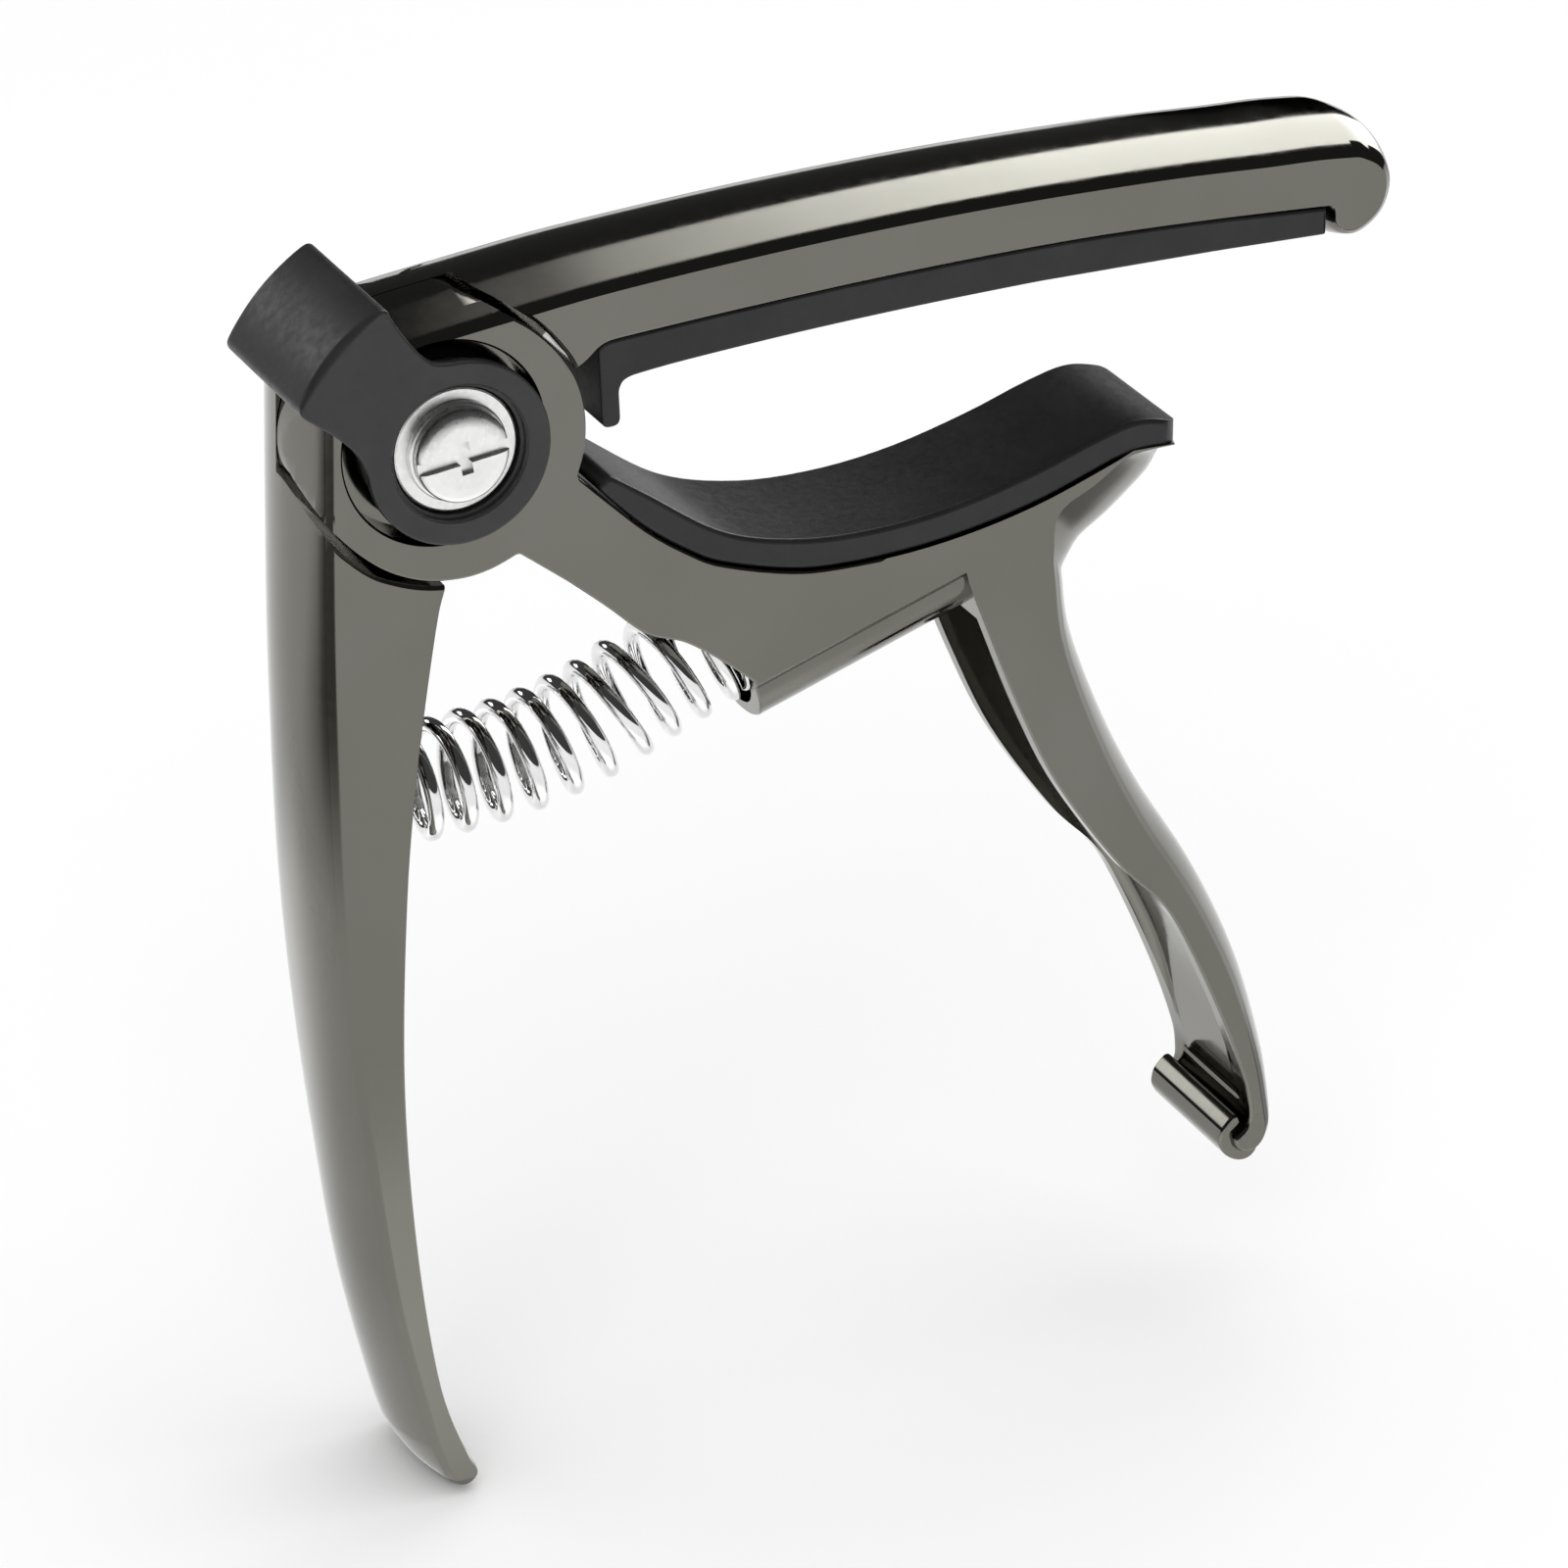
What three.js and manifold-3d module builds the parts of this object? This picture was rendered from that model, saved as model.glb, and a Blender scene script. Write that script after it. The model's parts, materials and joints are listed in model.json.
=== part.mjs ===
// A spring-loaded guitar capo in millimetres: a lever casting (string bar and rear handle) and a jaw
// casting (neck cradle and finger trigger) that turn on one pivot. At the pivot each casting keeps
// half of its depth, the jaw in front and the lever behind, so that their discs lap like pliers.
// X runs along the string bar, Y along the guitar's neck (front face at -Y), Z up.
// Everything is drawn round the pivot and moved at the end, so that the origin is the box centre.
import * as THREE from 'three';
import { mergeVertices } from 'three/addons/utils/BufferGeometryUtils.js';
import Module from 'manifold-3d';

const wasm = await Module();
wasm.setup();

// ---- Driving dimensions ----------------------------------------------------------------------
const HALF_DEPTH = 7;          // both castings are 14 mm deep
const PAST_FACE = 9;           // a cut that runs clear past a face
const LEVER_CROWN = 2.2;       // swell of the bar and handle at mid-depth
const TRIGGER_CROWN = 2.9;     // swell of the trigger's finger side at mid-depth
const CROWN_STEPS = 4;
const FLANGE = 1.7;            // wall of the open channels
const CHANNEL_HALF = HALF_DEPTH - FLANGE;

const DISC_RADIUS = 10.95;     // lapped pivot discs
const DISC_RECESS_RADIUS = 11.15;
const LAP_GAP = 0.1;           // half of the gap between the two discs
const WASHER_RADIUS = 6.6;     // thrust washer in a shallow counterbore of both discs
const WASHER_HALF = 0.25;
const WASHER_BORE = 2.7;
const COUNTERBORE_RADIUS = 6.8;
const COUNTERBORE_HALF = 0.35;

const POCKET_RADIUS = 8.35;    // round pocket in each disc, off centre towards the corner clip
const POCKET_X = -1;
const POCKET_Z = 0.7;
const POCKET_FLOOR = 4.9;

const BUSH_BORE = 2.55;        // running bore on the 5 mm sleeve nut
const SLEEVE_RADIUS = 2.5;
const BUSH_RADIUS = 3.6;
const BUSH_FIT = 0.02;         // the pressed bush is drawn this much under its hole
const SCREW_RADIUS = 1.6;
const RING_RADIUS = 5.15;
const RING_HALF_OUT = 6.95;    // the ring washers are flush with the faces
const RING_HALF_IN = 6.0;
const HEAD_RADIUS = 3.85;
const HEAD_HALF_OUT = 8.95;
const NUT_HALF_OUT = 8.55;
const COLLAR_RADIUS = 4.1;
const COLLAR_HALF_OUT = 7.5;
const DRIVE_DEPTH = 0.9;

const CLIP_RING_RADIUS = 7.6;
const CLIP_HOLE_RADIUS = 5.6;
const CLIP_HUB_RADIUS = 6.9;   // turns clear inside the off-centre pocket
const CLIP_LIP_RADIUS = 3.0;   // clamped under the ring washer
const CLIP_UNDER = 7.15;
const CLIP_OUT = 7.95;
const CLIP_WALL_OUTER = 14.3;
const CLIP_WALL_INNER = 13.3;
const CLIP_SEAT_RADIUS = 13;   // the lever's corner under the clip
const CLIP_MID_ANGLE = 136;
const CLIP_SPREAD = 21.5;      // degrees each side of the middle

const STOP_RADIUS = 8.6;       // stop lug on the jaw's disc, in an arc track of the lever's disc
const STOP_LUG_RADIUS = 1.1;
const STOP_ANGLE = -42;
const OPENING_ANGLE = 22;
const STOP_LUG_END = 1.3;
const STOP_TRACK_FLOOR = 1.5;
const STOP_CLEARANCE = 0.2;

const TUBE_TILT = 19.3;        // spring tube's rise to the right, degrees
const TUBE_BORE = 5.5;
const TUBE_BORE_END = 5;       // blind end of the bore, past the point where its mouth is widest
const TUBE_DROP = 5.5;         // how far the tube swells below the jaw's face
const SPRING_RADIUS = 4.3;     // coil centre line
const WIRE_RADIUS = 0.65;
const SPRING_COILS = 14;
const PEG_RADIUS = 3.1;

const RIB_HALF = 2.5;          // the ribs that hold the pads in their grooves
const RIB_HEIGHT = 1.5;
const SEAT_GAP = 0.15;

// ---- Outlines, as (x, z) from the pivot --------------------------------------------------------
const smooth = (...points) => (path) => path.splineThru(points.map(([x, z]) => new THREE.Vector2(x, z)));
const straight = (...points) => (path) => points.forEach(([x, z]) => path.lineTo(x, z));

function outline(start, ...runs) {
  const shape = new THREE.Shape();
  shape.moveTo(...start);
  runs.forEach((run) => run(shape));
  return shape;
}

const polar = (radius, degrees) => {
  const angle = THREE.MathUtils.degToRad(degrees);
  return [radius * Math.cos(angle), radius * Math.sin(angle)];
};

function arc(radius, from, to, steps = 12, [x, z] = [0, 0]) {
  return Array.from({ length: steps + 1 }, (_, i) => {
    const [dx, dz] = polar(radius, from + (to - from) * i / steps);
    return [x + dx, z + dz];
  });
}

const spiral = (...points) => points.map(([degrees, radius]) => polar(radius, degrees));

const raised = (points, height) => points.map(([x, z]) => [x, z + height]);

const BAR_TOP = [[-3.2, 8.7], [5.75, 9.9], [14.5, 10.9], [29.5, 11.95], [45, 12.5], [60.5, 12.45],
  [71, 12.05], [76.5, 11.75]];
const BAR_TIP = [[79.3, 11.3], [81.2, 9.7], [81.1, 7.3], [79.2, 5.85], [77.6, 6.4]];
const BAR_UNDER = [[12.9, 5.6], [15, 6.8], [24.5, 7.6], [34.6, 8.15], [45, 8.5], [55, 8.6], [65, 8.35],
  [75.8, 7.75]];
const HANDLE_OUTER = [[-10.1, -7], [-10.3, -20], [-10.1, -36], [-9.3, -49], [-7.9, -62], [-6.1, -75],
  [-3.1, -88.3]];
const HANDLE_INNER = [[-0.9, -89.2], [-3.1, -82.1], [-4.8, -68.9], [-5.5, -54], [-4.9, -38],
  [-3.7, -26.2], [-1.9, -14.7], [-1.1, -11.6]];
const TIP_LEFT = [-1.2, -92.4];
const TIP_RIGHT = [0, -91.6];
const CORNER = [-9.7, 7.6];

// The jaw's disc grows towards the corner, and the lever's edge clears it through the whole opening.
const JAW_DISC = spiral([26, 10.95], [40, 10.95], [56, 11.1], [72, 11.4], [84, 11.55], [100, 11.6],
  [115, 11.75], [130, 12.05], [150, 12.1], [168, 12.1], [185, 12.05], [197, 11.77], [209, 11.41], [225, 11.03],
  [240, 10.95], [256, 10.95], [272, 10.95], [285, 10.95], [298, 10.95]);
const BAR_EDGE = spiral([10, 11.25], [26, 11.25], [37, 11.3], [52, 11.55], [64, 11.85], [72, 11.95], [79, 12.1]);
const HANDLE_EDGE = spiral([188, 12.5], [198, 12.3], [206, 12.15], [215, 11.95], [231, 11.7], [242, 11.5],
  [254, 11.4], [266, 11.35], [278, 11.3]);

const CRADLE = [[12.6, -6.5], [16, -9.7], [19.3, -12.1], [22.7, -13.9], [29.6, -15.7], [36.5, -15.9],
  [43.4, -15.2], [50.5, -13.6], [57.5, -11.1], [60.2, -10.7]];
const TRIGGER_OUTER = [[54.2, -13.4], [52.3, -16], [51.9, -19.5], [52.9, -27], [56.3, -36.2],
  [60.3, -44.2], [65.4, -52.5], [69.3, -60.7], [71.8, -68.7], [72.7, -75]];
const TRIGGER_INNER = [[71.2, -71], [68.7, -64.3], [65, -56.1], [62.5, -51.9], [58.3, -47.4],
  [52.6, -39.1], [48.9, -31.3], [45.9, -23.7], [44, -19.3]];
const HOOK_BOTTOM = [[72.2, -77.2], [70.9, -77.6], [69.6, -76.6], [70, -75.2]];
const JAW_CUSP = [5.14, -9.67];
const JAW_LOWER = [[9.2, -12.8], [12.5, -15.6], [15.9, -18.6], [19.3, -20], [22.7, -22.4], [25.1, -24.9]];
const TUBE_END = [44, -18.3];
const HOOK_LOWEST = -79;
const HANDLE_LOWEST = -93.2;

// ---- Solids ------------------------------------------------------------------------------------
function solid(geometry) {
  const bare = geometry.clone();
  bare.deleteAttribute('normal');
  bare.deleteAttribute('uv');
  const welded = mergeVertices(bare, 1e-4);
  return new wasm.Manifold(new wasm.Mesh({
    numProp: 3,
    vertProperties: new Float32Array(welded.attributes.position.array),
    triVerts: new Uint32Array(welded.index.array),
  }));
}

function geometryOf(body) {
  const mesh = body.getMesh();
  const geometry = new THREE.BufferGeometry();
  geometry.setAttribute('position', new THREE.BufferAttribute(mesh.vertProperties, mesh.numProp));
  geometry.setIndex(new THREE.BufferAttribute(mesh.triVerts, 1));
  geometry.computeVertexNormals();
  return geometry;
}

// A shape drawn in (x, z) and pushed through from y0 to y1.
function slab(shape, y0, y1) {
  const geometry = new THREE.ExtrudeGeometry(shape, { depth: y1 - y0, bevelEnabled: false, curveSegments: 2 });
  geometry.rotateX(Math.PI / 2);
  geometry.translate(0, y1, 0);
  return solid(geometry);
}

const through = (shape) => slab(shape, -PAST_FACE, PAST_FACE);

// Full-depth body whose outline is the shape on both faces and swells by crown at mid-depth.
function crowned(shape, crown) {
  const middle = 0.4;
  const geometry = new THREE.ExtrudeGeometry(shape, {
    depth: middle,
    bevelThickness: HALF_DEPTH - middle / 2,
    bevelSize: crown,
    bevelSegments: CROWN_STEPS,
    curveSegments: 2,
  });
  geometry.translate(0, 0, -middle / 2);
  geometry.rotateX(Math.PI / 2);
  return solid(geometry);
}

// A round body along Y.
function round(radius, y0, y1, x = 0, z = 0, sides = 40) {
  const geometry = new THREE.CylinderGeometry(radius, radius, y1 - y0, sides);
  geometry.translate(x, (y0 + y1) / 2, z);
  return solid(geometry);
}

function block(x0, x1, y0, y1, z0, z1) {
  const geometry = new THREE.BoxGeometry(x1 - x0, y1 - y0, z1 - z0);
  geometry.translate((x0 + x1) / 2, (y0 + y1) / 2, (z0 + z1) / 2);
  return solid(geometry);
}

const union = (...bodies) => bodies.reduce((sum, body) => sum.add(body));
const cut = (body, ...tools) => tools.reduce((rest, tool) => rest.subtract(tool), body);

// A slab or round body between two distances from mid-depth, on the side that sign names.
const onSide = (sign, near, far) => (sign < 0 ? [-far, -near] : [near, far]);

// ---- Lever: string bar, corner and rear handle ---------------------------------------------------
function clipWedge(inner, outer, margin) {
  const from = CLIP_MID_ANGLE - CLIP_SPREAD - margin;
  const to = CLIP_MID_ANGLE + CLIP_SPREAD + margin;
  const points = [...arc(outer, from, to), ...arc(inner, to, from)];
  return outline(points[0], straight(...points.slice(1)));
}

function stopTrack() {
  const half = STOP_LUG_RADIUS + STOP_CLEARANCE;
  const reach = THREE.MathUtils.radToDeg(half / STOP_RADIUS);
  const from = STOP_ANGLE - OPENING_ANGLE - reach;
  const to = STOP_ANGLE + reach;
  const points = [...arc(STOP_RADIUS + half, from, to), ...arc(STOP_RADIUS - half, to, from)];
  return slab(outline(points[0], straight(...points.slice(1))), -PAST_FACE, STOP_TRACK_FLOOR);
}

// Crowned contour of the corner, which the two discs follow.
function cornerContour() {
  return crowned(outline([-10.3, -20], straight([-10.1, -7], CORNER), smooth(...BAR_TOP.slice(0, 3)),
    straight([20, 11.3], [20, -20])), LEVER_CROWN);
}

// Room for the jaw's disc in the front half of the lever, open over the corner.
function frontRecess() {
  const far = 22;
  const shape = outline(BAR_EDGE[0], smooth(...BAR_EDGE.slice(1)), straight(...arc(far, 79, 188),
    HANDLE_EDGE[0]), smooth(...HANDLE_EDGE.slice(1)), straight(...arc(DISC_RECESS_RADIUS, 285, 365)));
  return slab(shape, -PAST_FACE, LAP_GAP);
}

function padGroove(points, grow) {
  const inset = points.slice(1, -1);
  const top = raised(inset, RIB_HEIGHT + grow).reverse();
  const shape = outline(raised(inset, -1)[0], smooth(...raised(inset, -1).slice(1)), straight(top[0]),
    smooth(...top.slice(1)));
  return slab(shape, -RIB_HALF - grow, RIB_HALF + grow);
}

function leverCasting() {
  const bar = crowned(outline([-9.7, 2], straight(CORNER), smooth(...BAR_TOP), smooth(...BAR_TIP),
    straight([74, 7.5], [20, 4], [9, 2.4])), LEVER_CROWN);
  const handle = crowned(outline(CORNER, smooth(...HANDLE_OUTER), straight(TIP_LEFT, TIP_RIGHT),
    smooth(...HANDLE_INNER), straight([-1.1, 0], [-3, 7])), LEVER_CROWN);
  const belowBar = through(outline([10.7, 3.7], straight([11.1, 3.9]), smooth(...BAR_UNDER),
    straight([76.6, 7.4], [76.6, -20], [0, -20], [0, 3.4])));
  const besideHandle = through(outline([3, -97], straight([1, -92.4]), smooth(...HANDLE_INNER),
    straight([-1.1, -8], [30, -8], [30, -97])));
  const channel = slab(outline([8, -17], straight([-8, -17]), smooth([-9, -20], [-8.9, -36], [-8, -49.5],
    [-6.6, -62], [-4.8, -75], [-2.9, -83.5]), straight([8, -83.5])), -CHANNEL_HALF, CHANNEL_HALF);
  const disc = round(DISC_RADIUS, LAP_GAP, HALF_DEPTH).intersect(cornerContour());
  const pocket = round(POCKET_RADIUS, POCKET_FLOOR, PAST_FACE, POCKET_X, POCKET_Z);
  const counterbore = round(COUNTERBORE_RADIUS, -PAST_FACE, COUNTERBORE_HALF);
  const clipSeat = through(clipWedge(CLIP_SEAT_RADIUS, 22, 1.5));
  const belowHandle = block(-20, 20, -9, 9, -110, HANDLE_LOWEST);
  const arms = cut(union(bar, handle), belowBar, besideHandle, belowHandle, frontRecess(), clipSeat);
  return cut(union(arms, disc, springPeg()), channelAround(channel), round(BUSH_BORE, -9, 9), pocket,
    counterbore, stopTrack(), padGroove(BAR_UNDER, 0.3));
}

// The channel leaves the spring's round locating peg standing on its floor.
const PEG = { x0: -9.6, x1: -5.2, z: -31.1 };

function springPeg(radius = PEG_RADIUS) {
  const geometry = new THREE.CylinderGeometry(radius, radius, PEG.x1 - PEG.x0, 24);
  geometry.rotateZ(Math.PI / 2);
  geometry.translate((PEG.x0 + PEG.x1) / 2, 0, PEG.z);
  return solid(geometry);
}

const channelAround = (channel) => channel.subtract(springPeg());

function stringPad() {
  const under = [[75.4, 5.4], [66, 5.55], [50, 5.55], [39.8, 5.2], [29.5, 4.7], [19.4, 3.9], [15.2, 3.4]];
  const top = raised(BAR_UNDER.slice(1), -SEAT_GAP);
  const body = slab(outline([13, 5.2], smooth([14, 6], ...top), straight([76.1, 7.5], under[0], under[1], under[2]),
    smooth(...under.slice(3)), smooth([14.3, 2.9], [14.1, 1.9]), straight([13.9, -0.1], [13.3, -0.5], [12.3, 0],
      [12.2, 4.4])), -6.8, 6.8);
  return body.add(padGroove(raised(BAR_UNDER, -0.3), 0));
}

// ---- Jaw: disc, cradle, spring tube and trigger --------------------------------------------------
const TUBE_AXIS = { x: 22, z: -24.85 };

// Places a body that is drawn along +X from the origin onto the spring tube's axis.
function alongTube(geometry) {
  geometry.rotateY(-THREE.MathUtils.degToRad(TUBE_TILT));
  geometry.translate(TUBE_AXIS.x, 0, TUBE_AXIS.z);
  return solid(geometry);
}

// Rounded belly of the spring tube, from its mouth to the trigger.
function tubeBelly() {
  const rise = 2;
  const start = 3.2;
  const length = 21;
  const section = outline([HALF_DEPTH, rise], straight(...Array.from({ length: 17 }, (_, i) => {
    const angle = -Math.PI * i / 16;
    return [HALF_DEPTH * Math.cos(angle), -1.1 + TUBE_DROP * Math.sin(angle)];
  }), [-HALF_DEPTH, rise]));
  const geometry = new THREE.ExtrudeGeometry(section, { depth: length, bevelEnabled: false });
  geometry.rotateX(Math.PI / 2);
  geometry.rotateZ(Math.PI / 2);
  geometry.translate(start, 0, 0);
  return alongTube(geometry);
}

function tubeBore() {
  const length = 24;
  const geometry = new THREE.CylinderGeometry(TUBE_BORE, TUBE_BORE, length, 32);
  geometry.rotateZ(Math.PI / 2);
  geometry.translate(TUBE_BORE_END - length / 2, 0, 0);
  return alongTube(geometry);
}

function jawCasting() {
  const plate = slab(outline(polar(DISC_RADIUS, -22), smooth(...CRADLE), straight([56, -14], [50, -24],
    [44.6, -20], TUBE_END, [25.4, -24.7]), smooth(...[...JAW_LOWER].reverse()), straight(JAW_CUSP,
    [3, -3])), -HALF_DEPTH, HALF_DEPTH);
  const trigger = crowned(outline([44, -12], straight([48, -6], [60.2, -6], [60.2, -10.9]),
    smooth(...TRIGGER_OUTER), smooth(...HOOK_BOTTOM), smooth(...TRIGGER_INNER)), TRIGGER_CROWN);
  const aboveCradle = through(outline(polar(DISC_RADIUS, -21), smooth(...CRADLE), straight([70, -10.7],
    [70, 20], [8, 20])));
  const leftOfTrigger = through(outline([60, -90], straight([69, -78.5]), smooth([69.6, -76.8], [70, -75.2]),
    smooth(...TRIGGER_INNER), straight([43, -30], [43, -90])));
  const channel = slab(outline([71.8, -73], smooth([70.7, -68.7], [68.2, -60.7], [64.3, -52.9], [59.2, -44.8],
    [55, -36.6], [52, -28.5]), straight([50.4, -23.5], [44, -23.5], [40, -60], [60, -74])),
  -CHANNEL_HALF, CHANNEL_HALF);
  const hookBar = cut(round(2, -HALF_DEPTH, HALF_DEPTH, 70.6, -75.6, 20),
    block(66, 70.7, -8, 8, -74.9, -70));
  const disc = slab(outline(JAW_DISC[0], smooth(...JAW_DISC.slice(1)), straight(...arc(DISC_RADIUS, 302, 382))),
    -HALF_DEPTH, -LAP_GAP).intersect(cornerContour());
  const recess = round(DISC_RECESS_RADIUS, -LAP_GAP, PAST_FACE);
  const [lugX, lugZ] = polar(STOP_RADIUS, STOP_ANGLE);
  const lug = round(STOP_LUG_RADIUS, -1, STOP_LUG_END, lugX, lugZ, 16);
  const pocket = round(POCKET_RADIUS, -PAST_FACE, -POCKET_FLOOR, POCKET_X, POCKET_Z);
  const counterbore = round(COUNTERBORE_RADIUS, -COUNTERBORE_HALF, PAST_FACE);
  const fingers = cut(trigger, aboveCradle, leftOfTrigger, channel, block(40, 90, -9, 9, -90, HOOK_LOWEST));
  const frame = cut(union(plate, tubeBelly()), tubeBore(), recess);
  return cut(union(frame, disc, lug, fingers, hookBar), pocket, counterbore,
    round(BUSH_RADIUS + BUSH_FIT, -9, 9), cradleGroove(0.3));
}

const CRADLE_RIB = CRADLE.slice(1, -1);

function cradleGroove(grow) {
  const low = raised(CRADLE_RIB, -RIB_HEIGHT - grow);
  const high = raised(CRADLE_RIB, 1).reverse();
  const shape = outline(low[0], smooth(...low.slice(1)), straight(high[0]), smooth(...high.slice(1)));
  return slab(shape, -RIB_HALF - grow, RIB_HALF + grow);
}

function neckPad() {
  const low = raised([[13.2, -7], ...CRADLE.slice(1, -1)], SEAT_GAP);
  const high = [[59.5, -8], [56, -8.8], [50.4, -10.7], [43.4, -12.5], [36.5, -13.3], [29.5, -13], [22.7, -11.1],
    [16, -6.6], [12.9, -4.5]];
  const body = slab(outline([11.9, -5.3], smooth(...low), straight([60.4, -10.55], [63.3, -10.7], [63.3, -8.8]),
    smooth(...high)), -6.8, 6.8);
  const rib = cradleGroove(0).intersect(through(outline([0, -60], straight([0, 0], [70, 0], [70, -60]))));
  const lowered = rib.subtract(slab(outline([12, 0], straight(...raised(CRADLE_RIB, 0.3), [70, 0])), -9, 9));
  return body.add(lowered);
}

// ---- Corner clip ---------------------------------------------------------------------------------
function clipPlate(sign) {
  const neck = outline([-0.9, 7.5], smooth([-2.5, 8.4], [-4.4, 10.8], [-5.4, 12.9]), straight([-8, 16], [-16, 8],
    [-12.9, 5.2]), smooth([-10.9, 3.8], [-8.5, 1.9], [-7.55, 0]), straight([0, 0]));
  const face = union(slab(neck, ...onSide(sign, CLIP_UNDER, CLIP_OUT)),
    round(CLIP_RING_RADIUS, ...onSide(sign, CLIP_UNDER, CLIP_OUT)));
  const trimmed = face.intersect(round(CLIP_WALL_OUTER, -PAST_FACE, PAST_FACE));
  const hub = round(CLIP_HUB_RADIUS, ...onSide(sign, POCKET_FLOOR + 0.1, CLIP_UNDER + 0.2));
  const lipBore = round(CLIP_LIP_RADIUS, -PAST_FACE, PAST_FACE);
  const washerSeat = round(CLIP_HOLE_RADIUS, ...onSide(sign, RING_HALF_IN - 0.1, PAST_FACE));
  return cut(union(trimmed, hub), lipBore, washerSeat);
}

function cornerClip() {
  const wall = slab(clipWedge(CLIP_WALL_INNER, CLIP_WALL_OUTER, 0), -CLIP_OUT, CLIP_OUT);
  return union(wall, clipPlate(-1), clipPlate(1));
}

// ---- Pivot hardware --------------------------------------------------------------------------------
function pivotScrew() {
  const shank = round(SCREW_RADIUS, -COLLAR_HALF_OUT, 4.5, 0, 0, 24);
  const collar = round(COLLAR_RADIUS, -COLLAR_HALF_OUT, -RING_HALF_OUT - 0.02);
  const head = round(HEAD_RADIUS, -HEAD_HALF_OUT, -COLLAR_HALF_OUT + 0.2);
  const slot = block(-5, 5, -10, -HEAD_HALF_OUT + DRIVE_DEPTH, -0.5, 0.5);
  const cross = block(-0.5, 0.5, -10, -HEAD_HALF_OUT + DRIVE_DEPTH, -1.3, 1.3);
  return cut(union(shank, collar, head), slot, cross);
}

function sleeveNut() {
  const sleeve = round(SLEEVE_RADIUS, -RING_HALF_IN + 0.2, NUT_HALF_OUT);
  const head = round(HEAD_RADIUS, RING_HALF_OUT + 0.02, NUT_HALF_OUT);
  const thread = round(SCREW_RADIUS + 0.05, -8, 5.5, 0, 0, 24);
  const slot = block(-5, 5, NUT_HALF_OUT - DRIVE_DEPTH, 10, -0.5, 0.5);
  return cut(union(sleeve, head), thread, slot);
}

const RING_SIDES = 32;

function tubeRing(outer, inner, y0, y1) {
  const hole = round(inner, y0 - 1, y1 + 1, 0, 0, RING_SIDES);
  return round(outer, y0, y1, 0, 0, RING_SIDES).subtract(hole);
}

// ---- Return spring ---------------------------------------------------------------------------------
// A helix wound round a bowed centre line, with closed end coils.
class SpringWire extends THREE.Curve {
  constructor() {
    super();
    this.line = new THREE.CatmullRomCurve3([[-8.1, -31.1], [-1, -31.05], [7, -30.35], [13.5, -28.7], [19, -26.2],
      [26, -23.4]].map(([x, z]) => new THREE.Vector3(x, 0, z)));
  }

  getPoint(t) {
    const ends = 1.3 / SPRING_COILS;
    const closed = 0.028;
    const along = THREE.MathUtils.clamp((t - ends) / (1 - 2 * ends), 0, 1);
    const start = closed * Math.min(t / ends, 1);
    const finish = closed * THREE.MathUtils.clamp((t - 1 + ends) / ends, 0, 1);
    const u = THREE.MathUtils.clamp(start + (1 - 2 * closed) * along + finish, 0, 1);
    const centre = this.line.getPointAt(u);
    const tangent = this.line.getTangentAt(u);
    const side = new THREE.Vector3(-tangent.z, 0, tangent.x);
    const turn = 2 * Math.PI * SPRING_COILS * t;
    centre.addScaledVector(side, SPRING_RADIUS * Math.cos(turn));
    centre.y -= SPRING_RADIUS * Math.sin(turn);
    return centre;
  }
}

function returnSpring() {
  const section = new THREE.Shape();
  Array.from({ length: 6 }, (_, i) => polar(WIRE_RADIUS, i * 60)).forEach(([x, y], i) => (
    i ? section.lineTo(x, y) : section.moveTo(x, y)));
  return solid(new THREE.ExtrudeGeometry(section, {
    steps: 12 * SPRING_COILS,
    extrudePath: new SpringWire(),
    bevelEnabled: false,
  }));
}

// ---- Materials and assembly --------------------------------------------------------------------------
const finish = (color, roughness, metalness) => new THREE.MeshStandardMaterial({ color, roughness, metalness });
const gunmetal = finish(0x5f5e59, 0.22, 1);
const silver = finish(0xd8d8d6, 0.3, 1);
const chrome = finish(0xe4e4e4, 0.08, 1);
const rubber = finish(0x2c2c2c, 0.6, 0);
const plastic = finish(0x2f2f2f, 0.5, 0);
const nylon = finish(0xd9d6cc, 0.5, 0);
const bronze = finish(0xa77b45, 0.35, 1);

function piece(name, body, material) {
  const mesh = new THREE.Mesh(geometryOf(body), material);
  mesh.name = name;
  return mesh;
}

const lever = new THREE.Group();
lever.add(
  piece('lever_casting', leverCasting(), gunmetal),
  piece('string_pad', stringPad(), rubber),
  piece('corner_clip', cornerClip(), plastic),
  piece('pivot_screw', pivotScrew(), silver),
  piece('pivot_sleeve_nut', sleeveNut(), silver),
  piece('front_ring_washer', tubeRing(RING_RADIUS, WASHER_BORE, -RING_HALF_OUT, -RING_HALF_IN), silver),
  piece('rear_ring_washer', tubeRing(RING_RADIUS, WASHER_BORE, RING_HALF_IN, RING_HALF_OUT), silver),
  piece('thrust_washer', tubeRing(WASHER_RADIUS, WASHER_BORE, -WASHER_HALF, WASHER_HALF), nylon),
  piece('return_spring', returnSpring(), chrome),
);

const jaw = new THREE.Group();
jaw.add(
  piece('jaw_casting', jawCasting(), gunmetal),
  piece('neck_pad', neckPad(), rubber),
  piece('pivot_bush', tubeRing(BUSH_RADIUS, BUSH_BORE, 0.05 - POCKET_FLOOR, -COUNTERBORE_HALF - 0.05), bronze),
);

const capo = new THREE.Group();
capo.add(lever, jaw);
capo.position.sub(new THREE.Box3().setFromObject(capo, true).getCenter(new THREE.Vector3()));

export default capo;
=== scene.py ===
"""The looks of a trigger guitar capo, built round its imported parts.

Shapes are drawn in millimetres from the pivot, as in the CAD: X along the string bar, Y through the
castings' depth with the front face at -Y, Z up. to_row() puts them in the row frame in metres.
"""
import json
import math

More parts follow.
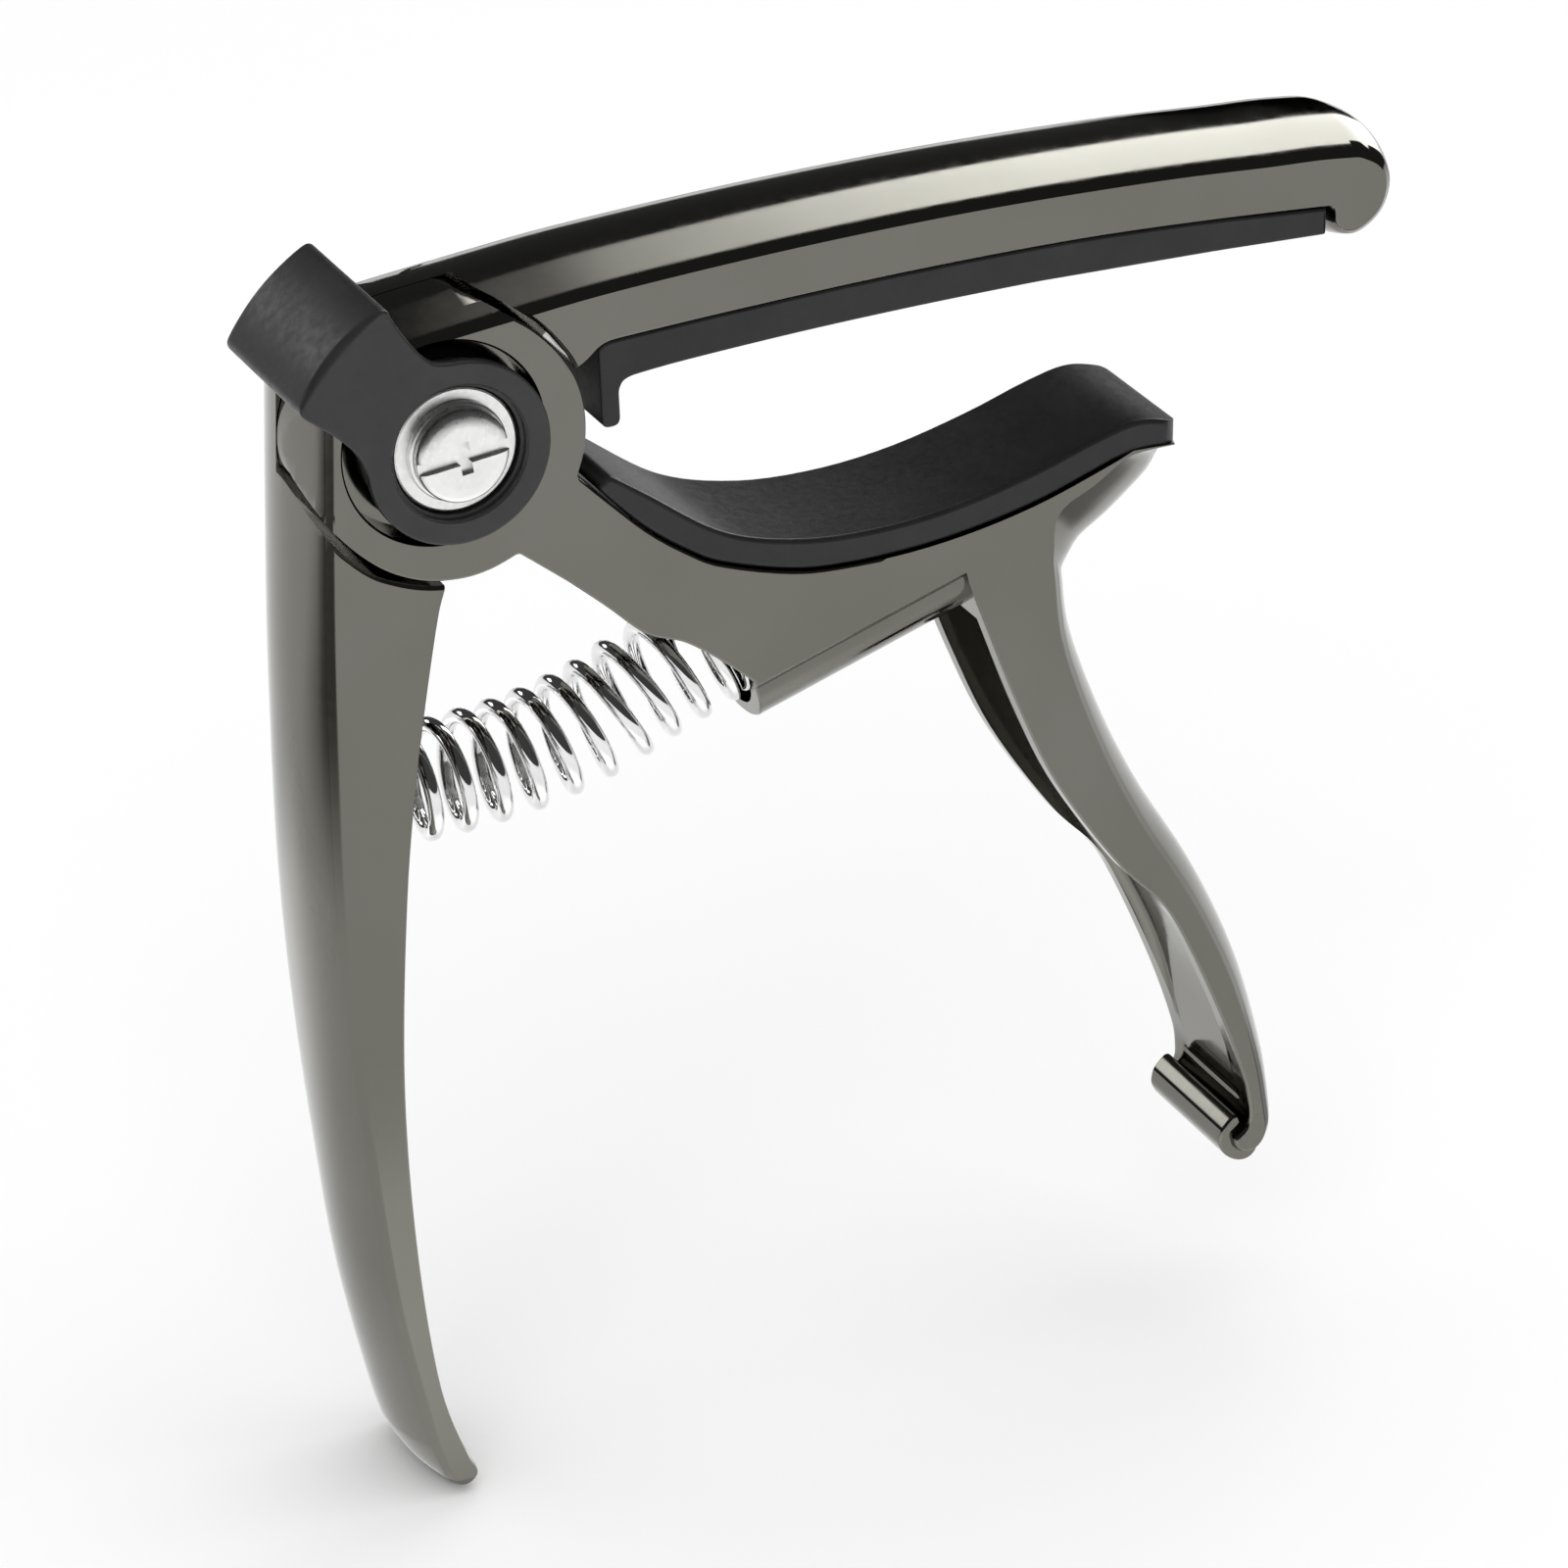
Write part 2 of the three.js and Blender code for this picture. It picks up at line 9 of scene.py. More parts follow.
import bmesh
import bpy
import numpy as np
from mathutils import Matrix, Vector

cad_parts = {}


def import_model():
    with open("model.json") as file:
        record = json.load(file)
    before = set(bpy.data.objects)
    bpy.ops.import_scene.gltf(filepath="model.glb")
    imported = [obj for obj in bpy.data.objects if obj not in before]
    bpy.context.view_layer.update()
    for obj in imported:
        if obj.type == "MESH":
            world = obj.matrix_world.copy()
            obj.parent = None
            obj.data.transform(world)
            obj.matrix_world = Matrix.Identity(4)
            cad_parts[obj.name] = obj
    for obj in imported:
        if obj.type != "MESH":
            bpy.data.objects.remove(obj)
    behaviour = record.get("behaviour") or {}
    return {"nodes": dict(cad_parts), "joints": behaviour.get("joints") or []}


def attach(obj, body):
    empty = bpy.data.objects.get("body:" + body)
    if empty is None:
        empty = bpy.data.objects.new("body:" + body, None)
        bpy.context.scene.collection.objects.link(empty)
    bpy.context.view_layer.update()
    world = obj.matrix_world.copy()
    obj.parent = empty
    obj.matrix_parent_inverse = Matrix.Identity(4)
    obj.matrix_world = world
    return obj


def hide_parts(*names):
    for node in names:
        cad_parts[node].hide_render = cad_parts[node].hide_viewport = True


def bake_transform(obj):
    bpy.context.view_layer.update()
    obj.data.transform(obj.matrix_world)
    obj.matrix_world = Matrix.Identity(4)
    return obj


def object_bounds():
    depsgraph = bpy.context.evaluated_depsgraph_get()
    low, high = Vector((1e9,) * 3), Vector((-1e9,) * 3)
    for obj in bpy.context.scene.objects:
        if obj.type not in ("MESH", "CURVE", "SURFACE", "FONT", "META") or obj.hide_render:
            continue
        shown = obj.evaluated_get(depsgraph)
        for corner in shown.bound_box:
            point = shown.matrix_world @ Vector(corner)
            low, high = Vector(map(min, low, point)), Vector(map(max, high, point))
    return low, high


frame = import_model()
cad_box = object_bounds()
PIVOT = Vector(frame["joints"][0]["pos_m"])
HALF_DEPTH = 7.0


# ---- Outlines -----------------------------------------------------------------------------------
def curve_through(points, step=0.4):
    """Smooth curve through the points (uniform Catmull-Rom), in steps of about `step`."""
    p = np.asarray(points, float)
    p = np.vstack([p[0], p, p[-1]])
    out = [p[0]]
    for before, start, end, after in zip(p, p[1:], p[2:], p[3:]):
        v0, v1 = (end - before) / 2, (after - start) / 2
        steps = max(2, int(np.linalg.norm((end - start)[:2]) / step))
        t = (np.arange(1, steps + 1) / steps)[:, None]
        cubic = (2 * start - 2 * end + v0 + v1) * t**3
        square = (3 * end - 3 * start - 2 * v0 - v1) * t**2
        out.extend(cubic + square + v0 * t + start)
    return np.array(out)


def path(start, *runs):
    """Closed outline of (x, z, crown weight). A run is ("curve" or "line", points, weight)."""
    points = [np.array([*start])]
    for kind, through, weight in runs:
        through = [(*p[:2], p[2] if len(p) > 2 else weight) for p in through]
        if kind == "curve":
            points.extend(curve_through([points[-1], *through])[1:])
        else:
            points.extend(np.array(through, float))
    return np.array(points, float)


def polar(radius, degrees):
    return (radius * math.cos(math.radians(degrees)), radius * math.sin(math.radians(degrees)))


def arc(radius, start, end, steps=24):
    """Points from start to end degrees about the pivot."""
    return [polar(radius, degrees) for degrees in np.linspace(start, end, steps + 1)]


SAMPLE_STEP = 0.06
UNLIMITED = 99.0


def soften(points, corner=0.22, crown_blend=1.4, turn=2.5, longest=1.6):
    """Rounds an outline's corners and thins it where it is straight.
    Returns x, z, crown weight, normal, and how far it can be offset inward and outward.
    A point is kept at every `turn` degrees and at every `longest` millimetres."""
    loop = np.vstack([points, points[:1]])
    seg = np.linalg.norm(np.diff(loop[:, :2], axis=0), axis=1)
    keep = np.r_[True, seg > 1e-6]
    loop, seg = loop[keep], seg[seg > 1e-6]
    s = np.r_[0, np.cumsum(seg)]
    n = int(s[-1] / SAMPLE_STEP)
    u = np.linspace(0, s[-1], n, endpoint=False)
    q = np.stack([np.interp(u, s, loop[:, k]) for k in range(3)], 1)
    freq = np.fft.fftfreq(n, s[-1] / n)
    for k, sigma in ((0, corner), (1, corner), (2, crown_blend)):
        q[:, k] = np.fft.ifft(np.fft.fft(q[:, k]) * np.exp(-2 * (math.pi * freq * sigma) ** 2)).real
    tangent = np.roll(q[:, :2], -1, 0) - np.roll(q[:, :2], 1, 0)
    area = 0.5 * np.sum(q[:, 0] * np.roll(q[:, 1], -1) - np.roll(q[:, 0], -1) * q[:, 1])
    if area < 0:
        q, tangent = q[::-1], -tangent[::-1]
    stride = np.linalg.norm(tangent, axis=1)
    tangent /= stride[:, None]
    normal = np.stack([tangent[:, 1], -tangent[:, 0]], 1)
    heading = np.unwrap(np.arctan2(tangent[:, 1], tangent[:, 0]))
    bend = np.roll(heading, -1) - np.roll(heading, 1)
    bend = (bend + math.pi) % (2 * math.pi) - math.pi
    reach = 0.8 * stride / np.maximum(np.abs(bend), 1e-9)
    inward = np.where(bend > 0, reach, UNLIMITED)
    outward = np.where(bend < 0, reach, UNLIMITED)
    picked, last = [0], 0
    for i in range(1, n):
        far = np.linalg.norm(q[i, :2] - q[last, :2])
        if abs(heading[i] - heading[last]) > math.radians(turn) or far > longest:
            picked.append(i)
            last = i
    return np.hstack([q[picked], normal[picked], inward[picked, None], outward[picked, None]])


# ---- Meshes -------------------------------------------------------------------------------------
def to_row(points):
    return [PIVOT + Vector((float(x), float(y), float(z))) * 0.001 for x, y, z in points]


def face_outwards(bm):
    bmesh.ops.recalc_face_normals(bm, faces=bm.faces)
    if bm.calc_volume(signed=True) < 0:
        bmesh.ops.reverse_faces(bm, faces=bm.faces)


def new_object(name, vertices, faces):
    """Mesh in millimetres. tidy() brings it to the row frame once it is finished."""
    mesh = bpy.data.meshes.new(name)
    mesh.from_pydata([tuple(map(float, v)) for v in vertices], [], faces)
    bm = bmesh.new()
    bm.from_mesh(mesh)
    bmesh.ops.remove_doubles(bm, verts=bm.verts, dist=1e-4)
    face_outwards(bm)
    bm.to_mesh(mesh)
    bm.free()
    obj = bpy.data.objects.new(name, mesh)
    bpy.context.scene.collection.objects.link(obj)
    return obj


def skinned(name, vertices, n):
    """Closed solid over vertices that lie ring by ring, n to a ring, with a cap at both ends."""
    rings = len(vertices) // n
    faces = []
    for r in range(rings - 1):
        for k in range(n):
            m = (k + 1) % n
            faces.append((r * n + k, r * n + m, (r + 1) * n + m, (r + 1) * n + k))
    faces.append(tuple(range(n)))
    faces.append(tuple(range((rings - 1) * n, rings * n)))
    return new_object(name, vertices, faces)


def loft(name, outline, rings):
    """Closed solid: the outline moved along its normals, ring by ring through the depth.
    A ring is (y, offset where the crown weight is 1, offset where it is 0). At -1 it moves the other way."""
    x, z, weight, nx, nz, inward, outward = outline.T
    n = len(outline)
    vertices = []
    for y, crown, plain in rings:
        offset = np.clip(weight * crown + (1 - np.abs(weight)) * plain, -inward, outward)
        vertices.extend(zip(x + nx * offset, np.full(n, y), z + nz * offset))
    return skinned(name, vertices, n)


def casting_rings(crown, chamfer=0.72, half=HALF_DEPTH, edge=0.2, steps=9):
    """Rings of a casting: a small round at the face, a chamfer, then a gentle crown up to mid-depth."""
    front = [(half, 0.0, -edge), (half - 0.134 * edge, edge * 0.3, -edge * 0.5),
             (half - edge * 0.5, edge * 0.75, -edge * 0.134), (half - edge, edge * 1.25, 0.0)]
    knee = half - chamfer + 0.05
    front += [(knee + 0.05, chamfer - 0.1, 0.0)]
    for i in range(steps):
        y = (knee - 0.04) * (1 - i / (steps - 1))
        front.append((y, chamfer + (crown - chamfer) * (1 - (y / knee) ** 2), 0.0))
    return [(-y, *offsets) for y, *offsets in front] + front[-2::-1]


def plain_rings(y0, y1, edge=0.2, steps=4):
    """Straight slab with rounded edges."""
    out = []
    for i in range(steps + 1):
        a = math.pi / 2 * i / steps
        out.append((y0 + edge * (1 - math.cos(a)), -edge * (1 - math.sin(a))))
    for i in range(steps, -1, -1):
        a = math.pi / 2 * i / steps
        out.append((y1 - edge * (1 - math.cos(a)), -edge * (1 - math.sin(a))))
    return [(y, o, o) for y, o in out]


def flat_rings(y0, y1):
    """Straight slab with square edges."""
    return [(y0, 0.0, 0.0), (y1, 0.0, 0.0)]


def boolean(obj, cutters, operation="DIFFERENCE"):
    """Applies each cutter to obj and removes it."""
    for cutter in cutters:
        modifier = obj.modifiers.new("cut", "BOOLEAN")
        modifier.operation = operation
        modifier.solver = "EXACT"
        modifier.object = cutter
        bpy.context.view_layer.update()
        evaluated = obj.evaluated_get(bpy.context.evaluated_depsgraph_get())
        mesh = bpy.data.meshes.new_from_object(evaluated)
        obj.modifiers.clear()
        obj.data = mesh
        bpy.data.objects.remove(cutter)
    return obj


def tidy(obj, sharp=34, weld=2e-3):
    """Removes slivers, moves the mesh to the row frame, then shades smooth with crisp edges.
    The flat front and back faces keep an edge all round, so that they mirror as flat."""
    bm = bmesh.new()
    bm.from_mesh(obj.data)
    bmesh.ops.remove_doubles(bm, verts=bm.verts, dist=weld)
    bmesh.ops.dissolve_degenerate(bm, edges=bm.edges, dist=weld)
    bmesh.ops.triangulate(bm, faces=[f for f in bm.faces if len(f.verts) > 4])
    face_outwards(bm)
    bm.normal_update()
    for face in bm.faces:
        face.smooth = True
    for edge in bm.edges:
        flat = {abs(face.normal.y) > 0.9999 for face in edge.link_faces}
        edge.smooth = len(flat) == 1 and edge.calc_face_angle(0) < math.radians(sharp)
    bm.to_mesh(obj.data)
    bm.free()
    obj.data.transform(Matrix.Translation(PIVOT) @ Matrix.Scale(0.001, 4))
    modifier = obj.modifiers.new("weighted", "WEIGHTED_NORMAL")
    modifier.keep_sharp = True
    modifier.weight = 90
    return obj


def turned(name, profile, sides=128, centre=(0, 0)):
    """Solid of revolution parallel to the pivot's axis. The (radius, y) profile runs from axis to axis,
    or back to its first point for a ring."""
    vertices, faces, rings = [], [], []
    for radius, y in profile:
        if radius < 1e-6:
            rings.append([len(vertices)])
            vertices.append((centre[0], y, centre[1]))
        else:
            rings.append(list(range(len(vertices), len(vertices) + sides)))
            for k in range(sides):
                a = 2 * math.pi * k / sides
                vertices.append((centre[0] + radius * math.cos(a), y, centre[1] + radius * math.sin(a)))
    for first, second in zip(rings, rings[1:]):
        for k in range(sides):
            m = (k + 1) % sides
            if len(first) == 1 and len(second) == 1:
                continue
            if len(first) == 1:
                faces.append((first[0], second[k], second[m]))
            elif len(second) == 1:
                faces.append((first[k], second[0], first[m]))
            else:
                faces.append((first[k], second[k], second[m], first[m]))
    return new_object(name, vertices, faces)


# ---- Materials ----------------------------------------------------------------------------------
class Shader:
    """Small helper round one Principled material."""

    def __init__(self, name, color, roughness, metallic=0.0, **sockets):
        self.material = bpy.data.materials.new(name)
        self.material.use_nodes = True
        self.nodes, self.links = self.material.node_tree.nodes, self.material.node_tree.links
        self.bsdf = self.nodes["Principled BSDF"]
        self.bsdf.inputs["Base Color"].default_value = (*color, 1)
        self.bsdf.inputs["Roughness"].default_value = roughness
        self.bsdf.inputs["Metallic"].default_value = metallic
        for key, value in sockets.items():
            self.bsdf.inputs[key.replace("_", " ")].default_value = value
        self.coordinates = self.nodes.new("ShaderNodeTexCoord").outputs["Object"]
        self.height = None

    def noise(self, per_metre, detail=3.0):
        mapping = self.nodes.new("ShaderNodeMapping")
        mapping.inputs["Scale"].default_value = (per_metre, per_metre, per_metre)
        self.links.new(self.coordinates, mapping.inputs["Vector"])
        texture = self.nodes.new("ShaderNodeTexNoise")
        texture.inputs["Scale"].default_value = 1.0
        texture.inputs["Detail"].default_value = detail
        self.links.new(mapping.outputs[0], texture.inputs["Vector"])
        return texture.outputs["Fac"]

    def spread(self, value, low, high, start=0.3, end=0.7):
        ramp = self.nodes.new("ShaderNodeMapRange")
        ramp.inputs["From Min"].default_value = start
        ramp.inputs["From Max"].default_value = end
        ramp.inputs["To Min"].default_value = low
        ramp.inputs["To Max"].default_value = high
        self.links.new(value, ramp.inputs["Value"])
        return ramp.outputs["Result"]

    def vary_roughness(self, value, low, high):
        self.links.new(self.spread(value, low, high), self.bsdf.inputs["Roughness"])
        return self

    def vary_color(self, value, dark, light, start=0.3, end=0.7):
        mix = self.nodes.new("ShaderNodeMix")
        mix.data_type = "RGBA"
        mix.inputs["A"].default_value = (*dark, 1)
        mix.inputs["B"].default_value = (*light, 1)
        self.links.new(self.spread(value, 0, 1, start, end), mix.inputs["Factor"])
        self.links.new(mix.outputs["Result"], self.bsdf.inputs["Base Color"])
        return self

    def bump(self, value, distance, strength=1.0):
        node = self.nodes.new("ShaderNodeBump")
        node.inputs["Distance"].default_value = distance
        node.inputs["Strength"].default_value = strength
        self.links.new(value, node.inputs["Height"])
        if self.height is not None:
            self.links.new(self.height, node.inputs["Normal"])
        self.height = node.outputs["Normal"]
        self.links.new(self.height, self.bsdf.inputs["Normal"])
        return self


def gunmetal():
    s = Shader("gunmetal_plating", (0.16, 0.157, 0.138), 0.1, 1.0)
    broad = s.noise(70, 2.0)
    s.vary_color(broad, (0.155, 0.152, 0.133), (0.170, 0.167, 0.148))
    s.vary_roughness(s.noise(900, 4.0), 0.07, 0.13)
    s.bump(s.noise(160, 2.0), 1.2e-5, 0.5)
    s.bump(s.noise(9000, 2.0), 1.0e-6, 0.25)
    return s.material


def rubber():
    s = Shader("pad_rubber", (0.014, 0.014, 0.0145), 0.4, 0.0, Specular_IOR_Level=0.36)
    s.vary_color(s.noise(220, 4.0), (0.011, 0.011, 0.0115), (0.016, 0.016, 0.0165))
    s.vary_roughness(s.noise(1500, 3.0), 0.34, 0.44)
    s.bump(s.noise(7000, 3.0), 8e-6, 0.4)
    return s.material


def clip_plastic():
    s = Shader("clip_plastic", (0.018, 0.018, 0.0185), 0.42, 0.0, Specular_IOR_Level=0.5)
    s.vary_color(s.noise(150, 3.0), (0.015, 0.015, 0.0155), (0.021, 0.021, 0.0215))
    s.vary_roughness(s.noise(1200, 3.0), 0.36, 0.48)
    s.bump(s.noise(6000, 2.0), 6e-6, 0.35)
    return s.material


def satin_steel():
    s = Shader("satin_steel", (0.86, 0.86, 0.85), 0.3, 1.0)
    s.vary_color(s.noise(400, 3.0), (0.80, 0.80, 0.79), (0.88, 0.88, 0.87))
    s.vary_roughness(s.noise(2500, 3.0), 0.26, 0.40)
    s.bump(s.noise(5000, 3.0), 4e-6, 0.4)
    return s.material


def spring_chrome():
    s = Shader("spring_chrome", (0.78, 0.78, 0.78), 0.06, 1.0)
    s.vary_color(s.noise(300, 2.0), (0.74, 0.74, 0.74), (0.80, 0.80, 0.80))
    s.vary_roughness(s.noise(2000, 3.0), 0.04, 0.09)
    s.bump(s.noise(2500, 2.0), 2e-6, 0.3)
    return s.material


def nylon():
    s = Shader("nylon", (0.70, 0.68, 0.62), 0.45)
    s.vary_color(s.noise(300, 3.0), (0.66, 0.64, 0.58), (0.72, 0.70, 0.64))
    s.bump(s.noise(4000, 2.0), 4e-6, 0.3)
    return s.material


def bush_bronze():
    s = Shader("bush_bronze", (0.55, 0.36, 0.17), 0.35, 1.0)
    s.vary_color(s.noise(1500, 4.0), (0.45, 0.29, 0.13), (0.60, 0.40, 0.20))
    s.bump(s.noise(6000, 3.0), 6e-6, 0.5)
    return s.material


def floor_material():
    s = Shader("pale_floor", (0.9, 0.9, 0.9), 0.9, 0.0, Specular_IOR_Level=0.0)
    s.vary_color(s.noise(3, 2.0), (0.90, 0.90, 0.90), (0.92, 0.92, 0.92))
    return s.material


MATERIALS = {"gunmetal_plating": gunmetal(), "pad_rubber": rubber(), "clip_plastic": clip_plastic(),
             "satin_steel": satin_steel(), "spring_chrome": spring_chrome(), "nylon": nylon(),
             "bush_bronze": bush_bronze()}


def dress(obj, slot, body, *nodes):
    """Gives obj its finish, its body (None for a piece between two) and the CAD nodes it stands for."""
    obj.data.materials.clear()
    obj.data.materials.append(MATERIALS[slot])
    if body:
        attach(obj, body)
    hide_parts(*nodes)
    return obj


# ---- Castings -----------------------------------------------------------------------------------
# Outlines run as (x, z), with a crown weight where one is given. Rims of the discs and of the seams
# beside them are (degrees, radius) about the pivot.
THROUGH = 9  # a cutter that reaches this far on either side passes every face
LEVER_CROWN = 2.2
TRIGGER_CROWN = 2.9
LAP_GAP = 0.08
DISC_RADIUS, DISC_ROOM = 10.95, 11.15
SLEEVE_ROOM, BUSH_RADIUS = 2.55, 3.6
POCKET_CENTRE = (-1, 0.7)
BAR_TOP = [(-3.2, 8.7), (5.75, 9.9), (14.5, 10.9), (29.5, 11.95), (45, 12.5), (60.5, 12.45), (71, 12.05),
           (75.2, 11.95)]
BAR_TIP = [(78.9, 11.65), (80.75, 10.6), (81.41, 9.0), (80.9, 7.0), (79.4, 5.7), (78.2, 5.5), (77.25, 6.0)]
BAR_UNDER = [(11.0, 5.4), (11.5, 5.83), (11.95, 6.25), (12.45, 6.57), (13, 6.77), (14.2, 6.9), (19.4, 7.27),
             (24.5, 7.6), (34.6, 8.15), (45, 8.5), (55, 8.6), (65, 8.35), (75.8, 7.85)]
HANDLE_OUTER = [(-10.1, -7), (-10.3, -20), (-10.1, -36), (-9.3, -49), (-7.9, -62), (-6.1, -75),
                (-3.1, -88.3)]
HANDLE_TIP = [(-2.2, -91.0, 0.7), (-1.5, -92.1), (-0.75, -92.17), (0.0, -91.6), (0.0, -91.0)]
HANDLE_INNER = [(-0.9, -89.2), (-3.1, -82.1), (-4.8, -68.9), (-5.5, -54), (-4.9, -38), (-3.7, -26.2),
                (-1.9, -14.7), (-1.1, -11.6)]
CORNER = (-9.7, 7.6)
JAW_DISC = [(26, 10.95), (40, 10.95), (56, 11.1), (72, 11.4), (84, 11.55), (100, 11.6), (115, 11.75),
            (130, 12.05), (150, 12.1), (168, 12.1), (185, 12.05), (197, 11.77), (209, 11.41), (225, 11.03),
            (240, 10.95), (256, 10.95), (272, 10.95), (285, 10.95), (298, 10.95)]
BAR_EDGE = [(10, 11.25), (26, 11.25), (37, 11.3), (52, 11.55), (64, 11.85), (72, 11.95), (79, 12.1)]
HANDLE_EDGE = [(188, 12.5), (198, 12.3), (206, 12.15), (215, 11.95), (231, 11.7), (242, 11.5), (254, 11.4),
               (266, 11.35), (278, 11.3)]
CRADLE = [(12.6, -6.5), (16, -9.7), (19.3, -12.1), (22.7, -13.9), (29.6, -15.7), (36.5, -15.9),
          (43.4, -15.2), (50.5, -13.6), (57.5, -11.1), (60.0, -10.75)]
TRIGGER_OUTER = [(60.5, -10.1, 0), (58.6, -10.4, 0), (57.2, -11.15, 0), (55.1, -12.6, 0), (53.0, -13.7, 0),
                 (52.05, -14.6, 0), (51.75, -16.2, 0.3), (51.85, -19.5, 1), (52.9, -27), (56.3, -36.2),
                 (60.3, -44.2), (65.4, -52.5), (69.3, -60.7), (71.8, -68.7), (72.75, -73.5), (73.1, -75.4)]
# The web under the cradle's free end: each row joins the face's edge to the web's edge at mid-depth.
WEB = [(52.85, -27.0, 55.4, -26.4), (51.95, -21.0, 55.0, -22.4), (51.87, -17.5, 56.0, -20.9),
       (51.95, -15.7, 57.1, -19.7), (52.35, -14.75, 58.2, -19.0), (53.25, -13.95, 59.7, -18.0),
       (55.35, -12.9, 61.4, -16.5), (57.45, -11.5, 63.2, -14.8), (58.85, -10.8, 63.9, -13.4),
       (60.8, -10.6, 64.2, -12.1), (62.7, -10.55, 64.2, -11.0)]
HOOK = [(72.84, -76.6, 0.8), (72.1, -77.3, 0.6), (71.2, -77.3, 0.45), (70.5, -76.8, 0.3), (70.4, -76.1, 0.2),
        (71.0, -75.6, 0)]
TRIGGER_INNER = [(71.5, -75.0), (71.6, -73.9), (71.1, -70.9), (68.7, -64.3), (65, -56.1), (62.5, -51.9),
                 (58.3, -47.4), (52.6, -39.1), (48.9, -31.3), (45.9, -23.7), (44.2, -19.3)]
LIP = [(69.25, -75.35), (70.35, -74.15), (70.75, -74.1), (71.1, -74.5), (71.6, -75.8), (72.6, -76.2),
       (72.9, -77.6), (72.1, -78.6), (70.9, -78.6), (69.7, -77.8), (69.05, -76.6)]
JAW_CUSP = (5.14, -9.67)
JAW_LOWER = [(9.2, -12.8), (12.5, -15.6), (15.9, -18.6), (19.3, -20), (22.7, -22.4), (25.1, -24.9)]
PEG_HEIGHT = -31.1
TUBE_END = (44, -18.3)
TUBE_TILT = 19.3
TUBE_AXIS = (22.0, -24.85)


def polar_points(rows):
    """Rows of (degrees, radius) about the pivot as points."""
    return [polar(radius, degrees) for degrees, radius in rows]


def disc_solid(name, radius, y0, y1, sides=128):
    """Round cutter or boss about the pivot."""
    return turned(name, [(0, y0), (radius, y0), (radius, y1), (0, y1)], sides)


def front_pocket():
    """Pocket for the clip's ring in the jaw's disc, with a bevelled rim."""
    profile = [(0, -4.9), (8.35, -4.9), (8.35, -6.82), (8.71, -7.18), (0, -7.18)]
    return turned("pocket", profile, centre=POCKET_CENTRE)


def back_pocket():
    """Shallow recess round the clip's ring in the lever's back face."""
    profile = [(0, THROUGH), (8.35, THROUGH), (8.35, 7.18), (8.71, 6.82), (0, 6.82)]
    return turned("pocket", profile, centre=POCKET_CENTRE)


def corner_outside():
    """Everything outside the crowned corner, which trims both discs."""
    outline = soften(path((-14, -21, 0), ("line", [(-10.3, -17), (-10.1, -7), CORNER], -1),
                          ("curve", BAR_TOP[:3], -1),
                          ("line", [(18, 11.2, -1), (22, 15), (22, 40), (-40, 40), (-40, -21)], 0)))
    return loft("outside", outline, casting_rings(LEVER_CROWN))


def clip_seat():
    """Room for the corner clip's wall."""
    points = path((*polar(13.05, 113), 0), ("line", arc(20, 112, 160), 0), ("line", arc(13.05, 159, 114), 0))
    return loft("clip_seat", soften(points, corner=0.12), flat_rings(-THROUGH, THROUGH))


def front_recess():
    """Room for the jaw's disc in the front half of the lever, with a bevelled edge on the face."""
    points = path((*polar(11.25, 10), 0), ("curve", polar_points(BAR_EDGE[1:]), 0),
                  ("line", [*arc(24, 79, 188), polar(12.5, 188)], 0),
                  ("curve", polar_points(HANDLE_EDGE[1:]), 0), ("line", arc(DISC_ROOM, 285, 365), 0))
    outline = soften(points, corner=0.3)
    rings = [(-THROUGH, 0.32, 0.32), (-7.02, 0.32, 0.32), (-6.7, 0.0, 0.0), (LAP_GAP, 0.0, 0.0)]
    return loft("recess", outline, rings)


def channel_rings(width=5.3, corner=0.9, steps=6):
    """Open channel's cutter, with rounded corners along its floor."""
    angles = [math.pi / 2 * i / steps for i in range(steps + 1)]
    front = [(-width + corner * (1 - math.cos(a)), -corner * (1 - math.sin(a)), 0.0) for a in angles]
    return front + [(-y, inset, 0.0) for y, inset, _ in front[::-1]]


def handle_channel():
    """Open channel along the inner side of the handle, where the spring sits."""
    inner = [(-8, -17), (-9, -20), (-8.9, -36), (-8, -49.5), (-6.6, -62), (-4.8, -75), (-3.3, -82)]
    outline = soften(path((8, -16, 0), ("line", [(-5, -15.5)], 0), ("curve", inner, 1),
                          ("line", [(-1.5, -84), (8, -84)], 0)), corner=0.8, crown_blend=0.8)
    return loft("channel", outline, channel_rings())


def peg():
    """Round peg that locates the spring on the handle's web."""
    vertices, sides = [], 48
    for radius, x in [(3.1, -9.7), (3.1, -5.6), (2.95, -5.3), (2.6, -5.2)]:
        for k in range(sides):
            a = 2 * math.pi * k / sides
            vertices.append((x, radius * math.cos(a), PEG_HEIGHT + radius * math.sin(a)))
    return skinned("peg", vertices, sides)


def beside_tip():
    """Cuts the inner flank of the bar's hooked tip flat."""
    outline = soften(path((70, 2, 0), ("line", [(76.75, 2), (76.75, 7.68), (70, 7.5)], 0)), corner=0.15)
    return loft("beside_tip", outline, flat_rings(-THROUGH, THROUGH))


